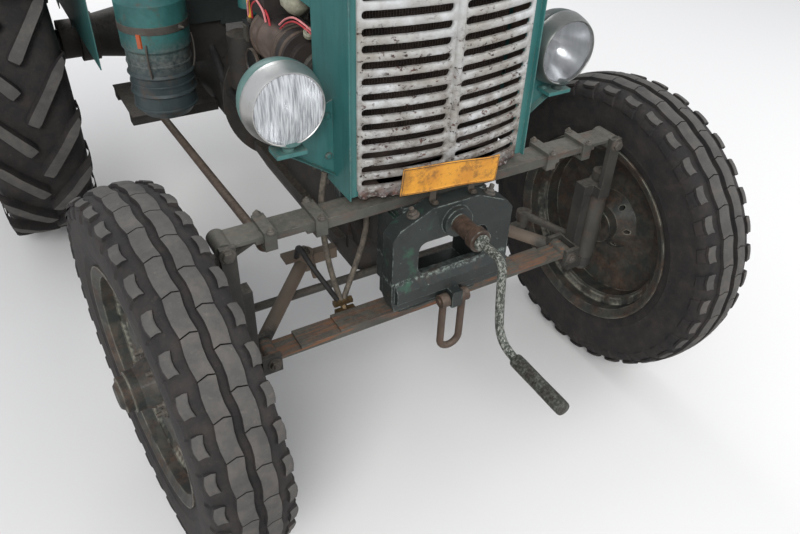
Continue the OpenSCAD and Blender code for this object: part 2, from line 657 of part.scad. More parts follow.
/* Wheels: z runs outboard from the wheel's mid-plane */
module tyre(r_out, w, r_rim, w_rim, crown) rotate_extrude() polygon([
    [r_rim, -w_rim / 2 + 9], [r_rim + rim_lip, -w_rim / 2 - 2], [(r_rim + r_out) / 2, -w / 2],
    [r_out - crown * 2.6, -w / 2 + 3], [r_out - crown, -w / 2 + 16], [r_out, -w / 2 + 38],
    [r_out, w / 2 - 38], [r_out - crown, w / 2 - 16], [r_out - crown * 2.6, w / 2 - 3],
    [(r_rim + r_out) / 2, w / 2], [r_rim + rim_lip, w_rim / 2 + 2], [r_rim, w_rim / 2 - 9]]);
module rim(r, w, lip) rotate_extrude() polygon([
    [r - 0.3, -w / 2 + 8.6], [r + lip, -w / 2 - 2.5], [r + lip, -w / 2 - 8], [r + lip - 6, -w / 2 - 8],
    [r - 6, -w / 2 + 2], [r - 8, -w / 2 + 30], [r - 34, -w / 2 + 44], [r - 34, w / 2 - 44],
    [r - 8, w / 2 - 30], [r - 6, w / 2 - 2], [r + lip - 6, w / 2 + 8], [r + lip, w / 2 + 8],
    [r + lip, w / 2 + 2.5], [r - 0.3, w / 2 - 8.6], [r - 0.3, w / 2 - 26], [r - 26, w / 2 - 40],
    [r - 26, -w / 2 + 40], [r - 0.3, -w / 2 + 26]]);

module front_tyre() tyre(front_tyre_r, front_tyre_w, front_rim_r, front_rim_w, 16);
module front_wheel() {
    rim(front_rim_r, front_rim_w, rim_lip);
    difference() {
        rotate_extrude() polygon([
            [spindle_r + fit, -36], [52, -36], [52, -6], [90, 30], [150, 34], [front_rim_r - 33, 18],
            [front_rim_r - 33, 24], [152, 42], [86, 39], [60, 44], [46, 78], [46, hub_end],
            [spindle_r + fit, hub_end]]);
        for (a = [30:60:330]) rotate([0, 0, a]) translate([72, 0, 0]) cylinder(r = 7, h = 90);
    }
    translate([0, 0, hub_end]) cylinder(r = 40, h = 18);
    translate([0, 0, hub_end + 18]) cylinder(r1 = 34, r2 = 26, h = 8);
}

rear_lugs = 22;
lug_pitch = 360 / rear_lugs;
// A lug's two ends: turn in pitches, distance across, radii of its foot and top, width round and across
lug_line = [[0, 16, rear_tyre_r - 48, rear_tyre_r - 0.5, 38, 30],
            [0.84, 126, rear_tyre_r - 104, rear_tyre_r - 8, 34, 26]];
module lug() hull() for (end = lug_line) rotate([0, 0, end[0] * lug_pitch])
    block([end[2], -end[4] / 2, end[1] - end[5] / 2], [end[3], end[4] / 2, end[1] + end[5] / 2]);
carcass_r = rear_tyre_r - lug_h;
// The bead is drawn larger by round_out, so that its flats clear the rim.
round_out = 1 / cos(90 / rear_lugs);
// One side of the carcass: radius, distance from the middle
carcass = [[rear_rim_r * round_out, rear_rim_w / 2 - 9],
           [(rear_rim_r + rim_lip) * round_out, rear_rim_w / 2 + 2],
           [(rear_rim_r + carcass_r) / 2, rear_tyre_w / 2], [carcass_r, rear_tyre_w / 2 - 26]];
module rear_tyre() {
    rotate_extrude($fn = 2 * rear_lugs)
        polygon([for (p = carcass) [p.x, -p.y], for (i = [3:-1:0]) carcass[i]]);
    for (i = [0:rear_lugs - 1]) rotate([0, 0, i * lug_pitch]) {
        lug();
        rotate([0, 0, lug_pitch / 2]) mirror([0, 0, 1]) lug();
    }
}
module rear_wheel() {
    rim(rear_rim_r, rear_rim_w, rim_lip);
    rotate_extrude() polygon([
        [0, -120], [110, -120], [110, -60], [150, -38], [230, -10], [rear_rim_r - 33, -24],
        [rear_rim_r - 33, -14], [232, 2], [145, -22], [96, -44], [96, -30], [60, -10], [0, -10]]);
    translate([0, 0, shaft_x0 - rear_track / 2]) cylinder(r = shaft_r, h = rear_track / 2 - shaft_x0 - 110);
}

module front_tyre_right() color("#2c2c2b") placed() steered(-1) on_spindle() front_tyre();
module front_tyre_left() color("#2c2c2b") placed() steered(1) on_spindle() front_tyre();
module front_wheel_right() color("#3c5a50") placed() steered(-1) on_spindle() front_wheel();
module front_wheel_left() color("#3c5a50") placed() steered(1) on_spindle() front_wheel();
module rear_tyre_right() color("#2c2c2b") placed() on_rear_axle(-1) rear_tyre();
module rear_tyre_left() color("#2c2c2b") placed() on_rear_axle(1) rear_tyre();
module rear_wheel_right() color("#3c5a50") placed() on_rear_axle(-1) rear_wheel();
module rear_wheel_left() color("#3c5a50") placed() on_rear_axle(1) rear_wheel();

/* Platform: fenders, footplates, seat */
fender_in = 520;
fender_out = 880;
fender_gap = 65;
fender_r = rear_tyre_r + fender_gap;
module fenders() color(teal) placed() both_sides() {
    translate([-fender_in, wheelbase, rear_tyre_r]) rotate([0, -90, 0]) difference() {
        union() {
            linear_extrude(fender_out - fender_in) fender_arc(fender_r - sheet, fender_r);
            linear_extrude(sheet) fender_side();
        }
    }
    block([-fender_in, wheelbase - 70, 850 + seat_gap], [-150, wheelbase + 70, 856]);
}
// Arc over the wheel in the plane turned so that x is up and y is back.
module fender_arc(r0, r1) intersection() {
    difference() {
        circle(r = r1, $fn = 96);
        circle(r = r0, $fn = 96);
    }
    polygon([[0, 0], [540, -900], [900, -900], [900, 900], [420, 900]]);
}
// Flat side plate with its low front corner.
module fender_side() {
    fender_arc(150, fender_r);
    polygon([[105, -600], [355, -600], [420, -540], [200, 120], [100, 200]]);
}

foot_z = 500;
module footplates() color(iron) placed() both_sides() {
    block([-440, case_y0 - 290, foot_z], [-160, case_y0, foot_z + 5]);
    for (y = [case_y0 - 280, case_y0 - 60]) block([-440, y, foot_z - 30], [-150, y + 40, foot_z]);
}

seat_y = wheelbase + 90;
seat_z = 1010;
module seat() color("#2f3a36") placed() {
    translate([0, seat_y, seat_z]) difference() {
        rotate_extrude() polygon([[0, 0], [110, 4], [180, 34], [214, 92], [208, 96], [174, 41], [106, 11],
                                  [0, 7]]);
        translate([-300, -300, 45]) cube([600, 250, 100]);
    }
    block([-25, wheelbase - 60, 850 + seat_gap], [25, wheelbase + 10, 866]);
    rod([0, wheelbase - 25, 860], [0, seat_y - 20, seat_z + 4], 12);
}

pulley_shaft_r = 20;
pulley_at = [215, 985, 660];
side_case_half = 55;
module belt_pulley() color(iron) placed() {
    translate([pulley_at.x - 55, pulley_at.y, pulley_at.z]) along_x(pulley_shaft_r, 60);
    translate(pulley_at + [seat_gap, 0, 0]) rotate([0, 90, 0]) rotate_extrude()
        polygon([[0, 0], [40, 0], [40, 20], [pulley_r - 12, 20], [pulley_r - 12, 2], [pulley_r, 2],
                 [pulley_r, 132], [pulley_r - 12, 132], [pulley_r - 12, 34], [30, 34], [30, 90], [0, 90]]);
}
module pto_shaft() color(steel) placed() {
    translate([0, case_y1 + 2, 600]) along_y(pto_bearing_r, 38);
    translate([0, case_y1 + 40, 600]) along_y(pto_r, 80);
}
module drawbar() color(iron) placed() difference() {
    union() {
        block([-40, wheelbase - 50, 395], [40, case_y1 + 290, 420]);
        block([-120, wheelbase + 10, 420], [120, wheelbase + 90, 450 - seat_gap]);
    }
    for (y = [case_y1 + 175, case_y1 + 245]) translate([0, y, 394]) cylinder(r = drawbar_bore_r, h = 30);
}
// The pedals share the room between the pulley's side case and the axle's case
pedal_room = case_y0 - pulley_at.y - side_case_half;
pedal_y = case_y0 - 0.3 * pedal_room;
pedal_end = pedal_y - 0.3 * pedal_room;
module controls() color(iron) placed() {
    translate([40, case_y0 - 140, 840 + seat_gap]) cylinder(r = 10, h = 260);
    translate([40, case_y0 - 140, 1100]) sphere(r = 20);
    for (side = [-1, 1]) {
        rod([side * (150 + seat_gap), pedal_y, 600], [side * 210, pedal_y, 600], 14);
        rod([side * 200, pedal_y, 600], [side * 200, pedal_end, 700], 9);
        block([side * 200 - 35, pedal_end - 25, 694], [side * 200 + 35, pedal_end + 5, 712]);
    }
}

engine_block();
cylinder_head();
manifold();
injection_pump();
dynamo();
fan();
radiator();
radiator_shell();
grille();
number_plate();
lamp_brackets();
headlamps();
lamp_lenses();
bonnet();
fuel_tank();
dash();
air_cleaner();
front_bracket();
leaf_springs();
kingpin_carriers();
starting_handle();
tow_shackle();
knuckle_right();
knuckle_left();
front_tyre_right();
front_tyre_left();
front_wheel_right();
front_wheel_left();
drag_link();
tie_rod();
drop_arm();
steering_box();
steering_wheel();
transmission();
rear_axle();
rear_tyre_right();
rear_tyre_left();
rear_wheel_right();
rear_wheel_left();
fenders();
footplates();
seat();
belt_pulley();
pto_shaft();
drawbar();
controls();
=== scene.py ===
"""A vintage farm tractor with twin transverse front springs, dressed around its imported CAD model."""
import json
import math

import bmesh
import bpy
import numpy as np
from mathutils import Matrix, Vector


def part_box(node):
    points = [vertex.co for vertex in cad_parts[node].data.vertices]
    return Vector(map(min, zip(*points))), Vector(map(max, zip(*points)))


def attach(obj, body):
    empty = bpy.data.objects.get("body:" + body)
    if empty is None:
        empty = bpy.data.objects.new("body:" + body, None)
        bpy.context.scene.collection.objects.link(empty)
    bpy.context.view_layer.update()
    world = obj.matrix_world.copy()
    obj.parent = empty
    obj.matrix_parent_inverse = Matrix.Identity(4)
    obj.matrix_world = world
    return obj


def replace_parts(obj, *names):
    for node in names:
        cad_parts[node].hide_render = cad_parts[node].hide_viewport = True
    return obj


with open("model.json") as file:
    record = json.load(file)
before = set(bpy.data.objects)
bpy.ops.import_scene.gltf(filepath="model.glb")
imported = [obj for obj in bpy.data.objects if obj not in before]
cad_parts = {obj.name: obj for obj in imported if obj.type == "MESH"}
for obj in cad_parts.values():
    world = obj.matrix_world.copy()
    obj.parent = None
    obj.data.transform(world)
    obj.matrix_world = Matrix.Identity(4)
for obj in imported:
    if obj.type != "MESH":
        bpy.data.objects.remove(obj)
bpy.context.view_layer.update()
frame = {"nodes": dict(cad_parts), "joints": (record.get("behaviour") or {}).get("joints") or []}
joints = {joint["name"]: joint for joint in frame["joints"]}


# The view. The tractor is looked down on from ahead of its right front wheel, from the
# height of a standing person, with a moderately wide lens and the camera tipped a little.
eye = Vector((-0.786, -2.004, 1.577))
yaw, pitch, roll = (math.radians(a) for a in (31.36, 37.62, 2.33))
camera = bpy.data.objects.new("camera", bpy.data.cameras.new("camera"))
camera.data.lens = 32.2
camera.data.sensor_width = 36
camera.data.clip_start = 0.05
turn = Matrix.Rotation(-yaw, 4, "Z") @ Matrix.Rotation(math.pi / 2 - pitch, 4, "X")
camera.matrix_world = Matrix.Translation(eye) @ turn @ Matrix.Rotation(roll, 4, "Z")
bpy.context.scene.collection.objects.link(camera)
bpy.context.scene.camera = camera
bpy.context.scene.view_settings.view_transform = "Standard"


# The sheet metal. Radiator shell, bonnet, lamp brackets, fenders and tank are pressed
# steel in a blue-green paint that is dulled, chipped at its edges and dusty on top.
class Wire:
    """One output socket of a shader node; arithmetic on it adds Math nodes."""

    def __init__(self, finish, socket):
        self.finish = finish
        self.socket = socket

    def math(self, operation, *values):
        return self.finish.node("Math", values, operation=operation)

    def __add__(self, other):
        return self.math("ADD", self, other)

    def __radd__(self, other):
        return self.math("ADD", other, self)

    def __sub__(self, other):
        return self.math("SUBTRACT", self, other)

    def __rsub__(self, other):
        return self.math("SUBTRACT", other, self)

    def __mul__(self, other):
        return self.math("MULTIPLY", self, other)

    def __rmul__(self, other):
        return self.math("MULTIPLY", other, self)

    def most(self, other):
        return self.math("MAXIMUM", self, other)

    def over(self, low, high):
        """0 below low, 1 above high and an even slope between."""
        values = {"Value": self, "From Min": low, "From Max": high}
        return self.finish.node("MapRange", values, clamp=True)


def rgb(red, green, blue):
    """A colour as it is seen, in 0 to 255, to the linear values that a socket takes."""
    seen = np.array([red, green, blue]) / 255
    linear = np.where(seen < 0.04045, seen / 12.92, ((seen + 0.055) / 1.055) ** 2.4)
    return (*(float(v) for v in linear), 1.0)


class Finish:
    """One material. All its nodes come from its method node."""

    def __init__(self, name, metallic=0.0, coat=0.0):
        self.material = bpy.data.materials.new(name)
        self.material.use_nodes = True
        self.tree = self.material.node_tree
        self.surface = self.tree.nodes["Principled BSDF"]
        self.surface.inputs["Metallic"].default_value = metallic
        self.surface.inputs["Coat Weight"].default_value = coat
        self.place = self.node("TexCoord", out="Object")
        self.facing = self.node("TexCoord", out="Normal")

    def node(self, kind, values=(), out=0, **settings):
        """Adds one node: its settings first, then the value or the link of each socket."""
        node = self.tree.nodes.new("ShaderNode" + kind)
        for key, value in settings.items():
            setattr(node, key, value)
        pairs = values.items() if isinstance(values, dict) else enumerate(values)
        for key, value in pairs:
            self.plug(node.inputs[key], value)
        return Wire(self, node.outputs[out])

    def plug(self, socket, value):
        if isinstance(value, Wire):
            self.tree.links.new(value.socket, socket)
        else:
            socket.default_value = value

    def mix(self, low, high, share):
        """The colour low where share is 0, and high where it is 1."""
        return self.node("Mix", {0: share, 6: low, 7: high}, out=2, data_type="RGBA")

    def noise(self, scale, detail=4.0, rough=0.55, stretch=None):
        """Cloudy noise about 0.5, of the given number of patches to a metre."""
        place = self.place
        if stretch:
            place = self.node("Mapping", {"Vector": place, "Scale": stretch})
        values = {"Vector": place, "Scale": scale, "Detail": detail, "Roughness": rough}
        return self.node("TexNoise", values)

    def along(self, axis):
        """The place along X, Y or Z in the tractor's frame, in metres; Z is the height."""
        return self.node("SeparateXYZ", [self.place], out=axis)

    def upward(self):
        """1 on faces that look up, 0 on upright and hanging ones."""
        return self.node("SeparateXYZ", [self.facing], out="Z").over(0.2, 0.95)

    def edges(self, radius):
        """1 on sharp outer edges, where paint and dirt wear off first."""
        smooth = self.node("Bevel", {"Radius": radius}, samples=4)
        flat = self.node("NewGeometry", out="Normal")
        same = self.node("VectorMath", [smooth, flat], out="Value", operation="DOT_PRODUCT")
        return (1.0 - same).over(0.02, 0.3)

    def done(self, colour, roughness, bump=None, depth=0.001, rounding=0.0):
        """Plugs in the colour, the roughness and the bump, depth high; rounding softens edges."""
        self.plug(self.surface.inputs["Base Color"], colour)
        self.plug(self.surface.inputs["Roughness"], roughness)
        if bump is not None:
            values = {"Height": bump, "Strength": 1.0, "Distance": depth}
            if rounding:
                values["Normal"] = self.node("Bevel", {"Radius": rounding}, samples=4)
            self.plug(self.surface.inputs["Normal"], self.node("Bump", values))
        return self.material


def dress(material, *nodes):
    """Gives these nodes of the frame that finish."""
    for name in nodes:
        for slot in frame["nodes"][name].material_slots:
            slot.material = material


def teal_paint(name, base, pale, dust_share):
    f = Finish(name, coat=0.12)
    f.surface.inputs["Coat Roughness"].default_value = 0.35
    clouds = f.noise(5, 5)
    fine = f.noise(60, 6, 0.7)
    colour = f.mix(base, pale, clouds.over(0.35, 0.75) * 0.55 + fine * 0.15)
    streaks = f.noise(9, 4, 0.6, stretch=(6, 6, 0.7)).over(0.5, 0.75)
    colour = f.mix(colour, rgb(30, 72, 70), streaks * 0.5)
    dust = (f.upward() * 0.8 + (1.0 - f.along("Z").over(0.5, 1.1)) * 0.25) * fine.over(0.3, 0.7)
    colour = f.mix(colour, rgb(128, 124, 112), dust * dust_share)
    wear = f.edges(0.003) * f.noise(30, 4).over(0.45, 0.6)
    specks = f.noise(130, 3, 0.6).over(0.71, 0.74) * clouds.over(0.4, 0.6)
    chips = wear.most(specks)
    bare = f.mix(rgb(60, 44, 36), rgb(120, 118, 112), f.noise(200).over(0.4, 0.6))
    colour = f.mix(colour, bare, chips)
    rough = 0.36 + fine * 0.22 + dust * 0.3 + chips * 0.2
    return f.done(colour, rough, fine * 0.25 - chips * 0.8, 0.0006, rounding=0.002)


teal = teal_paint("teal_sheet", rgb(38, 96, 94), rgb(70, 128, 124), 0.6)
dress(teal, "radiator_shell", "bonnet", "lamp_brackets", "fenders", "fuel_tank")


# Iron and steel that was never repainted: castings dark with oil, forgings grey with dust,
# the manifold, the drag link and the shackle rusty brown. All are brighter at their edges.
def iron_finish(name, dark, light, dusty, rust_share=0.2, metal=0.15):
    f = Finish(name, metallic=metal)
    clouds = f.noise(8, 5, 0.6)
    fine = f.noise(90, 6, 0.7)
    colour = f.mix(dark, light, clouds.over(0.35, 0.7) * 0.7 + fine * 0.3)
    rust = f.noise(22, 6, 0.7).over(0.5, 0.68)
    colour = f.mix(colour, rgb(92, 58, 42), rust * rust_share)
    dust = (f.upward() * 0.75 + 0.15) * fine.over(0.32, 0.68)
    colour = f.mix(colour, dusty, dust)
    wear = f.edges(0.003) * f.noise(40, 3).over(0.5, 0.65)
    colour = f.mix(colour, rgb(120, 114, 106), wear * 0.7)
    rough = 0.55 + fine * 0.25 - wear * 0.15
    return f.done(colour, rough, fine * 0.6 + clouds * 0.4, 0.0016, rounding=0.003)


casting = iron_finish("oily_casting", rgb(30, 30, 29), rgb(58, 56, 52), rgb(92, 85, 75))
forging = iron_finish("dark_forging", rgb(46, 46, 43), rgb(78, 76, 70), rgb(104, 99, 90), 0.35)
rusty = iron_finish("rusty_steel", rgb(54, 43, 36), rgb(88, 73, 62), rgb(114, 102, 90), 0.45)
dress(casting, "engine_block", "cylinder_head", "injection_pump", "fan", "radiator", "transmission")
dress(casting, "rear_axle", "steering_box", "footplates", "belt_pulley", "drawbar", "controls")
dress(forging, "knuckle_right", "knuckle_left", "drop_arm", "tie_rod")
dress(rusty, "manifold", "drag_link", "tow_shackle")


# Front tyres, of dark brownish grey rubber that is dusty in its grooves and rubbed pale on
# top. Two staggered rows of long blocks run round the crown on either side of a zigzag
# groove, then a plain channel, then short shoulder blocks that step down the wall.
class Shape:
    """A piece gathered from grids of points: rings of a turned part or of a pipe, or a
    surface given by a formula. Each grid carries the number of its finish."""

    def __init__(self):
        self.points, self.faces, self.marks = [], [], []
        self.count = 0

    def grid(self, points, mark=0, closed=False):
        """Adds rows x columns points; closed joins the last row to the first."""
        rows, columns = points.shape[:2]
        number = np.arange(rows * columns).reshape(rows, columns) + self.count
        if closed:
            number = np.vstack([number, number[:1]])
        quads = np.stack([number[:-1, :-1], number[1:, :-1], number[1:, 1:], number[:-1, 1:]], -1)
        self.points.append(points.reshape(-1, 3))
        self.faces.append(quads.reshape(-1, 4))
        self.marks.append(np.broadcast_to(mark, quads.shape[:2]).reshape(-1))
        self.count += rows * columns

    def box(self, low, high, mark=0):
        """A box as one tube of four corners with pinched ends."""
        (x0, y0, z0), (x1, y1, z1) = low, high
        ring = np.array([[x0, y0], [x1, y0], [x1, y1], [x0, y1]])
        middle = ring.mean(0)
        rows = []
        for wide, z in ((0, z0), (1, z0), (1, z1), (0, z1)):
            rows.append(np.column_stack([middle + (ring - middle) * wide, np.full(4, z)]))
        self.grid(np.array(rows).transpose(1, 0, 2), mark, closed=True)

    def piece(self, name, body, finishes, turn=None, smooth=38):
        """Makes the mesh, creased where faces meet by more than smooth degrees, and lets it
        ride on that body."""
        points, faces = np.vstack(self.points), np.vstack(self.faces)
        if turn is not None:
            points = moved(points, turn)
            if np.linalg.det(turn[:3, :3]) < 0:
                faces = faces[:, ::-1]
        mesh = bpy.data.meshes.new(name)
        mesh.from_pydata(points.tolist(), [], faces.tolist())
        mesh.polygons.foreach_set("material_index", np.concatenate(self.marks))
        for finish in finishes:
            mesh.materials.append(finish)
        work = bmesh.new()
        work.from_mesh(mesh)
        bmesh.ops.remove_doubles(work, verts=work.verts, dist=2e-6)
        bmesh.ops.dissolve_degenerate(work, edges=work.edges, dist=2e-6)
        work.to_mesh(mesh)
        work.free()
        mesh.shade_smooth()
        mesh.set_sharp_from_angle(angle=math.radians(smooth))
        made = bpy.data.objects.new(name, mesh)
        bpy.context.scene.collection.objects.link(made)
        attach(made, body)
        return made


def unit(vector):
    vector = np.array(vector, float)
    return vector / np.linalg.norm(vector)


def placed(place, axis=(0, 0, 1), side=(1, 0.001, 0)):
    """The 4x4 turn that brings z to axis, x towards side and the origin to place."""
    z = unit(axis)
    x = unit(np.array(side) - z * np.dot(side, z))
    turn = np.eye(4)
    turn[:3, 0], turn[:3, 1], turn[:3, 2], turn[:3, 3] = x, np.cross(z, x), z, place
    return turn


def moved(points, turn):
    return points @ turn[:3, :3].T + turn[:3, 3]


def lathe(profile, parts):
    """Rings of (radius, place along z) turned about z; the profile runs up the outside."""
    angle = np.linspace(0, 2 * np.pi, parts, endpoint=False)
    radius, along = np.array(profile).T
    flat = [np.outer(np.cos(angle), radius), np.outer(np.sin(angle), radius)]
    return np.stack([*flat, np.tile(along, (parts, 1))], -1)


def rubber_finish(name, dark, light, dusty, dust_share):
    """Dark brownish grey rubber, clouded, with dust in patches and pale scuffs."""
    f = Finish(name)
    fine = f.noise(150, 6, 0.7)
    clouds = f.noise(9, 5, 0.6)
    colour = f.mix(dark, light, clouds.over(0.3, 0.7) * 0.6 + fine * 0.4)
    dust = f.noise(24, 6, 0.7).over(0.42, 0.7)
    colour = f.mix(colour, dusty, dust * dust_share)
    scuffs = f.noise(70, 5, 0.7).over(0.6, 0.68) * clouds.over(0.4, 0.6)
    colour = f.mix(colour, dusty, scuffs * 0.5)
    return f.done(colour, 0.72 + fine * 0.2, fine + clouds * 0.4, 0.0009)


rubber_side = rubber_finish("tyre_side", rgb(20, 19, 19), rgb(36, 33, 32), rgb(68, 60, 54), 0.4)
rubber_top = rubber_finish("tyre_tread_top", rgb(58, 56, 55), rgb(82, 80, 77), rgb(108, 102, 95), 0.4)


front_r = (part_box("front_tyre_right")[1].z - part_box("front_tyre_right")[0].z) / 2
front_pitches = 35
pitch_turn = 2 * np.pi / front_pitches
# Half of the carcass from the bead to the crown: radius, distance from the middle
front_wall = np.array([
    [0.2545, 0.059], [0.262, 0.0665], [0.274, 0.0702], [0.288, 0.0755], [0.296, 0.0785], [0.299, 0.0802],
    [0.303, 0.0795], [0.320, 0.0825], [0.342, 0.084], [0.362, 0.0832], [0.378, 0.0808], [0.381, 0.0816],
    [0.385, 0.0802], [0.397, 0.0775], [0.405, 0.071], [0.4105, 0.060], [0.414, 0.044], [0.4155, 0.022]])
# Rows of blocks: where they start and their length in pitches, inner and outer edge from
# the middle, radius of their foot, slant in pitches
block_rows = ((0.015, 0.965, 0.0065, 0.0375, 0.415, 0.07), (0.30, 0.56, 0.058, 0.0765, 0.404, 0.03))
# How far the crown's radius falls by the square of the distance from the middle
crown_fall = 2.5
# The steps of the shoulder blocks down the wall: radius of their top, reach down, height
step_top, step_reach, step_high = 0.4085, 0.034, 0.0052


def wheel_turn(joint, side):
    """The wheel's own frame: z out of the tractor along the axle, x up. side is -1 on the right."""
    axle = np.array(joints[joint]["axis"]) * (side if joints[joint]["axis"][0] > 0 else -side)
    turn = placed(joints[joint]["pos_m"], axle, (0, 0, 1))
    turn[:3, 1] *= 1 if turn[1, 1] > 0 else -1
    return turn


def add_block(shape, turn, length, inner, outer, side, foot, slant):
    """One tread block: u runs along it and v across, from foot up over two bevelled edges
    to the crown; its ends bulge and both halves slant to a kink."""
    u = np.array([-0.02, 0, 0.05, 0.35, 0.65, 0.95, 1, 1.02])[:, None]
    v = np.array([-0.05, 0, 0.12, 0.4, 0.88, 1, 1.05])[None, :]
    lift = np.minimum(np.array([0, 0.86, 1, 1, 1, 1, 0.86, 0])[:, None], [[0, 0.86, 1, 1, 1, 0.86, 0]])
    bulge = 0.005 * (1 - abs(2 * u.clip(0, 1) - 1))
    across = inner + bulge + (outer - inner) * v
    kink = slant * (1 - abs(v.clip(0, 1) - 0.4) / 0.6)
    angle = (turn + u * length + kink) * pitch_turn
    radius = foot + (front_r - crown_fall * across**2 - foot) * lift
    points = np.stack([np.cos(angle) * radius, np.sin(angle) * radius, side * across + 0 * radius], -1)
    top = np.minimum(lift[:-1, :-1], lift[1:, 1:]) > 0.8
    shape.grid(points[:, ::side], np.where(top[:, ::side], 1, 0))


def add_wall_lug(shape, turn, length, side):
    """The step of a shoulder block down the side wall, which fades out towards the bead."""
    u = np.array([-0.05, 0.04, 0.5, 0.96, 1.05])[:, None]
    v = np.linspace(0, 1, 6)[None, :]
    lift = np.minimum(np.array([0, 1, 1, 1, 0])[:, None], [[1, 1, 1, 1, 0.8, 0]])
    radius = step_top - step_reach * v
    wall = np.interp(radius, front_wall[8:, 0], front_wall[8:, 1])
    angle = (turn + u * length - 0.1 * v) * pitch_turn
    across = side * (wall - 0.001 + step_high * lift)
    points = np.stack([np.cos(angle) * radius, np.sin(angle) * radius, across], -1)
    shape.grid(points[:, ::side])


def front_tyre(place, side):
    """The carcass turned about the axle, and its blocks, pitch by pitch, on both halves."""
    shape = Shape()
    wall = np.vstack([front_wall * (1, -1), front_wall[::-1]])
    shape.grid(lathe(wall, 160), closed=True)
    for pitch in range(front_pitches):
        for way in (-1, 1):
            stagger = pitch + 0.25 * way
            for start, length, inner, outer, foot, slant in block_rows:
                add_block(shape, stagger + start, length, inner, outer, way, foot, slant)
            add_wall_lug(shape, stagger + 0.33, 0.5, way)
    turn = wheel_turn("front_roll_" + place, side)
    finishes = [rubber_side, rubber_top]
    tyre = shape.piece("front_tread_" + place, "front_wheel_" + place, finishes, turn)
    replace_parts(tyre, "front_tyre_" + place)


sides = (("right", -1), ("left", 1))
for place, side in sides:
    front_tyre(place, side)


# Rear tyres. Tall slanting lugs, 22 from each side, staggered by half a pitch; each runs
# from a rounded knob near the middle out over the shoulder and down onto the side wall.
rear_pitches = 22
rear_wall = np.array([
    [0.357, 0.108], [0.366, 0.114], [0.378, 0.1205], [0.395, 0.128], [0.405, 0.1335], [0.409, 0.1355],
    [0.415, 0.1345], [0.440, 0.139], [0.475, 0.142], [0.515, 0.1405], [0.552, 0.135], [0.580, 0.125],
    [0.594, 0.110], [0.600, 0.085], [0.603, 0.045], [0.604, 0.015]])
# Along a lug: turn in pitches, distance from the middle, radius, half width
lug_line = np.array([
    [-0.10, 0.004, 0.598, 0.010], [-0.085, 0.006, 0.626, 0.012], [-0.06, 0.009, 0.6335, 0.017],
    [0.0, 0.017, 0.6345, 0.0195], [0.2, 0.043, 0.6345, 0.018], [0.45, 0.076, 0.634, 0.0165],
    [0.68, 0.106, 0.631, 0.0165], [0.82, 0.124, 0.6275, 0.017], [0.875, 0.1335, 0.622, 0.017],
    [0.9, 0.1395, 0.606, 0.0165], [0.91, 0.1435, 0.575, 0.0155], [0.915, 0.1445, 0.550, 0.013],
    [0.915, 0.138, 0.540, 0.011]])


def rear_tyre(place, side):
    """The carcass turned about the axle, and its lugs: rings of seven points across the lug
    follow lug_line, square to its slope, and sink into the carcass at both edges."""
    shape = Shape()
    shape.grid(lathe(np.vstack([rear_wall * (1, -1), rear_wall[::-1]]), 144), closed=True)
    pitch_angle = 2 * np.pi / rear_pitches
    angle, across, radius, half = lug_line.T
    angle = angle * pitch_angle
    slope = np.stack([np.gradient(angle) * radius, np.gradient(across)], -1)[3:8].mean(0)
    slope /= np.linalg.norm(slope)
    # Points across a lug, in half widths, and how far each sinks below its top
    width = np.array([-1.12, -1, -0.86, 0, 0.86, 1, 1.12])[None, :]
    sunk = np.array([0.034, 0.005, 0, -0.0005, 0, 0.005, 0.034])[None, :]
    turned = angle[:, None] - half[:, None] * slope[1] / radius[:, None] * width
    # From the shoulder on, both edges keep to the line's own distance, flush with the wall
    flush = np.interp(across, [lug_line[6, 1], lug_line[9, 1]], [1, 0])[:, None]
    spread = across[:, None] + half[:, None] * slope[0] * width * flush
    tall = radius[:, None] - sunk
    top = np.zeros((len(angle) - 1, 6), int)
    top[2:8, 2:4] = 1
    for lug in range(rear_pitches):
        for way in (-1, 1):
            a = turned + (lug + (0 if way > 0 else 0.5)) * pitch_angle
            points = np.stack([np.cos(a) * tall, np.sin(a) * tall, way * spread], -1)
            shape.grid(points[:, ::way], top[:, ::way])
    turn = wheel_turn("rear_roll_" + place, side)
    finishes = [rubber_side, rubber_top]
    tyre = shape.piece("rear_lugs_" + place, "rear_wheel_" + place, finishes, turn)
    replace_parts(tyre, "rear_tyre_" + place)


for place, side in sides:
    rear_tyre(place, side)


# Wheels. Pressed discs, rims and hubs in dark green-grey paint, rusty in patches and rubbed
# pale along the lips. Nuts on studs hold the discs, and a valve stands out of each rim.
def wheel_paint():
    f = Finish("wheel_paint", coat=0.05)
    clouds = f.noise(10, 5, 0.6)
    fine = f.noise(110, 6, 0.7)
    colour = f.mix(rgb(29, 34, 32), rgb(52, 57, 52), clouds.over(0.35, 0.7) * 0.6 + fine * 0.2)
    rust = f.noise(16, 7, 0.72).over(0.44, 0.62)
    colour = f.mix(colour, f.mix(rgb(48, 33, 25), rgb(88, 60, 42), fine.over(0.4, 0.6)), rust * 0.65)
    dust = f.noise(30, 5, 0.65).over(0.45, 0.7)
    colour = f.mix(colour, rgb(104, 94, 82), dust * 0.35)
    wear = f.edges(0.006) * f.noise(20, 4).over(0.42, 0.56)
    colour = f.mix(colour, rgb(150, 148, 134), wear)
    return f.done(colour, 0.5 + fine * 0.25 + rust * 0.15, fine * 0.5 - rust * 0.5, 0.0012, rounding=0.003)


dress(wheel_paint(), "front_wheel_right", "front_wheel_left", "rear_wheel_right", "rear_wheel_left")
nut_steel = iron_finish("nut_steel", rgb(62, 60, 57), rgb(104, 100, 94), rgb(120, 112, 100), 0.3, 0.5)


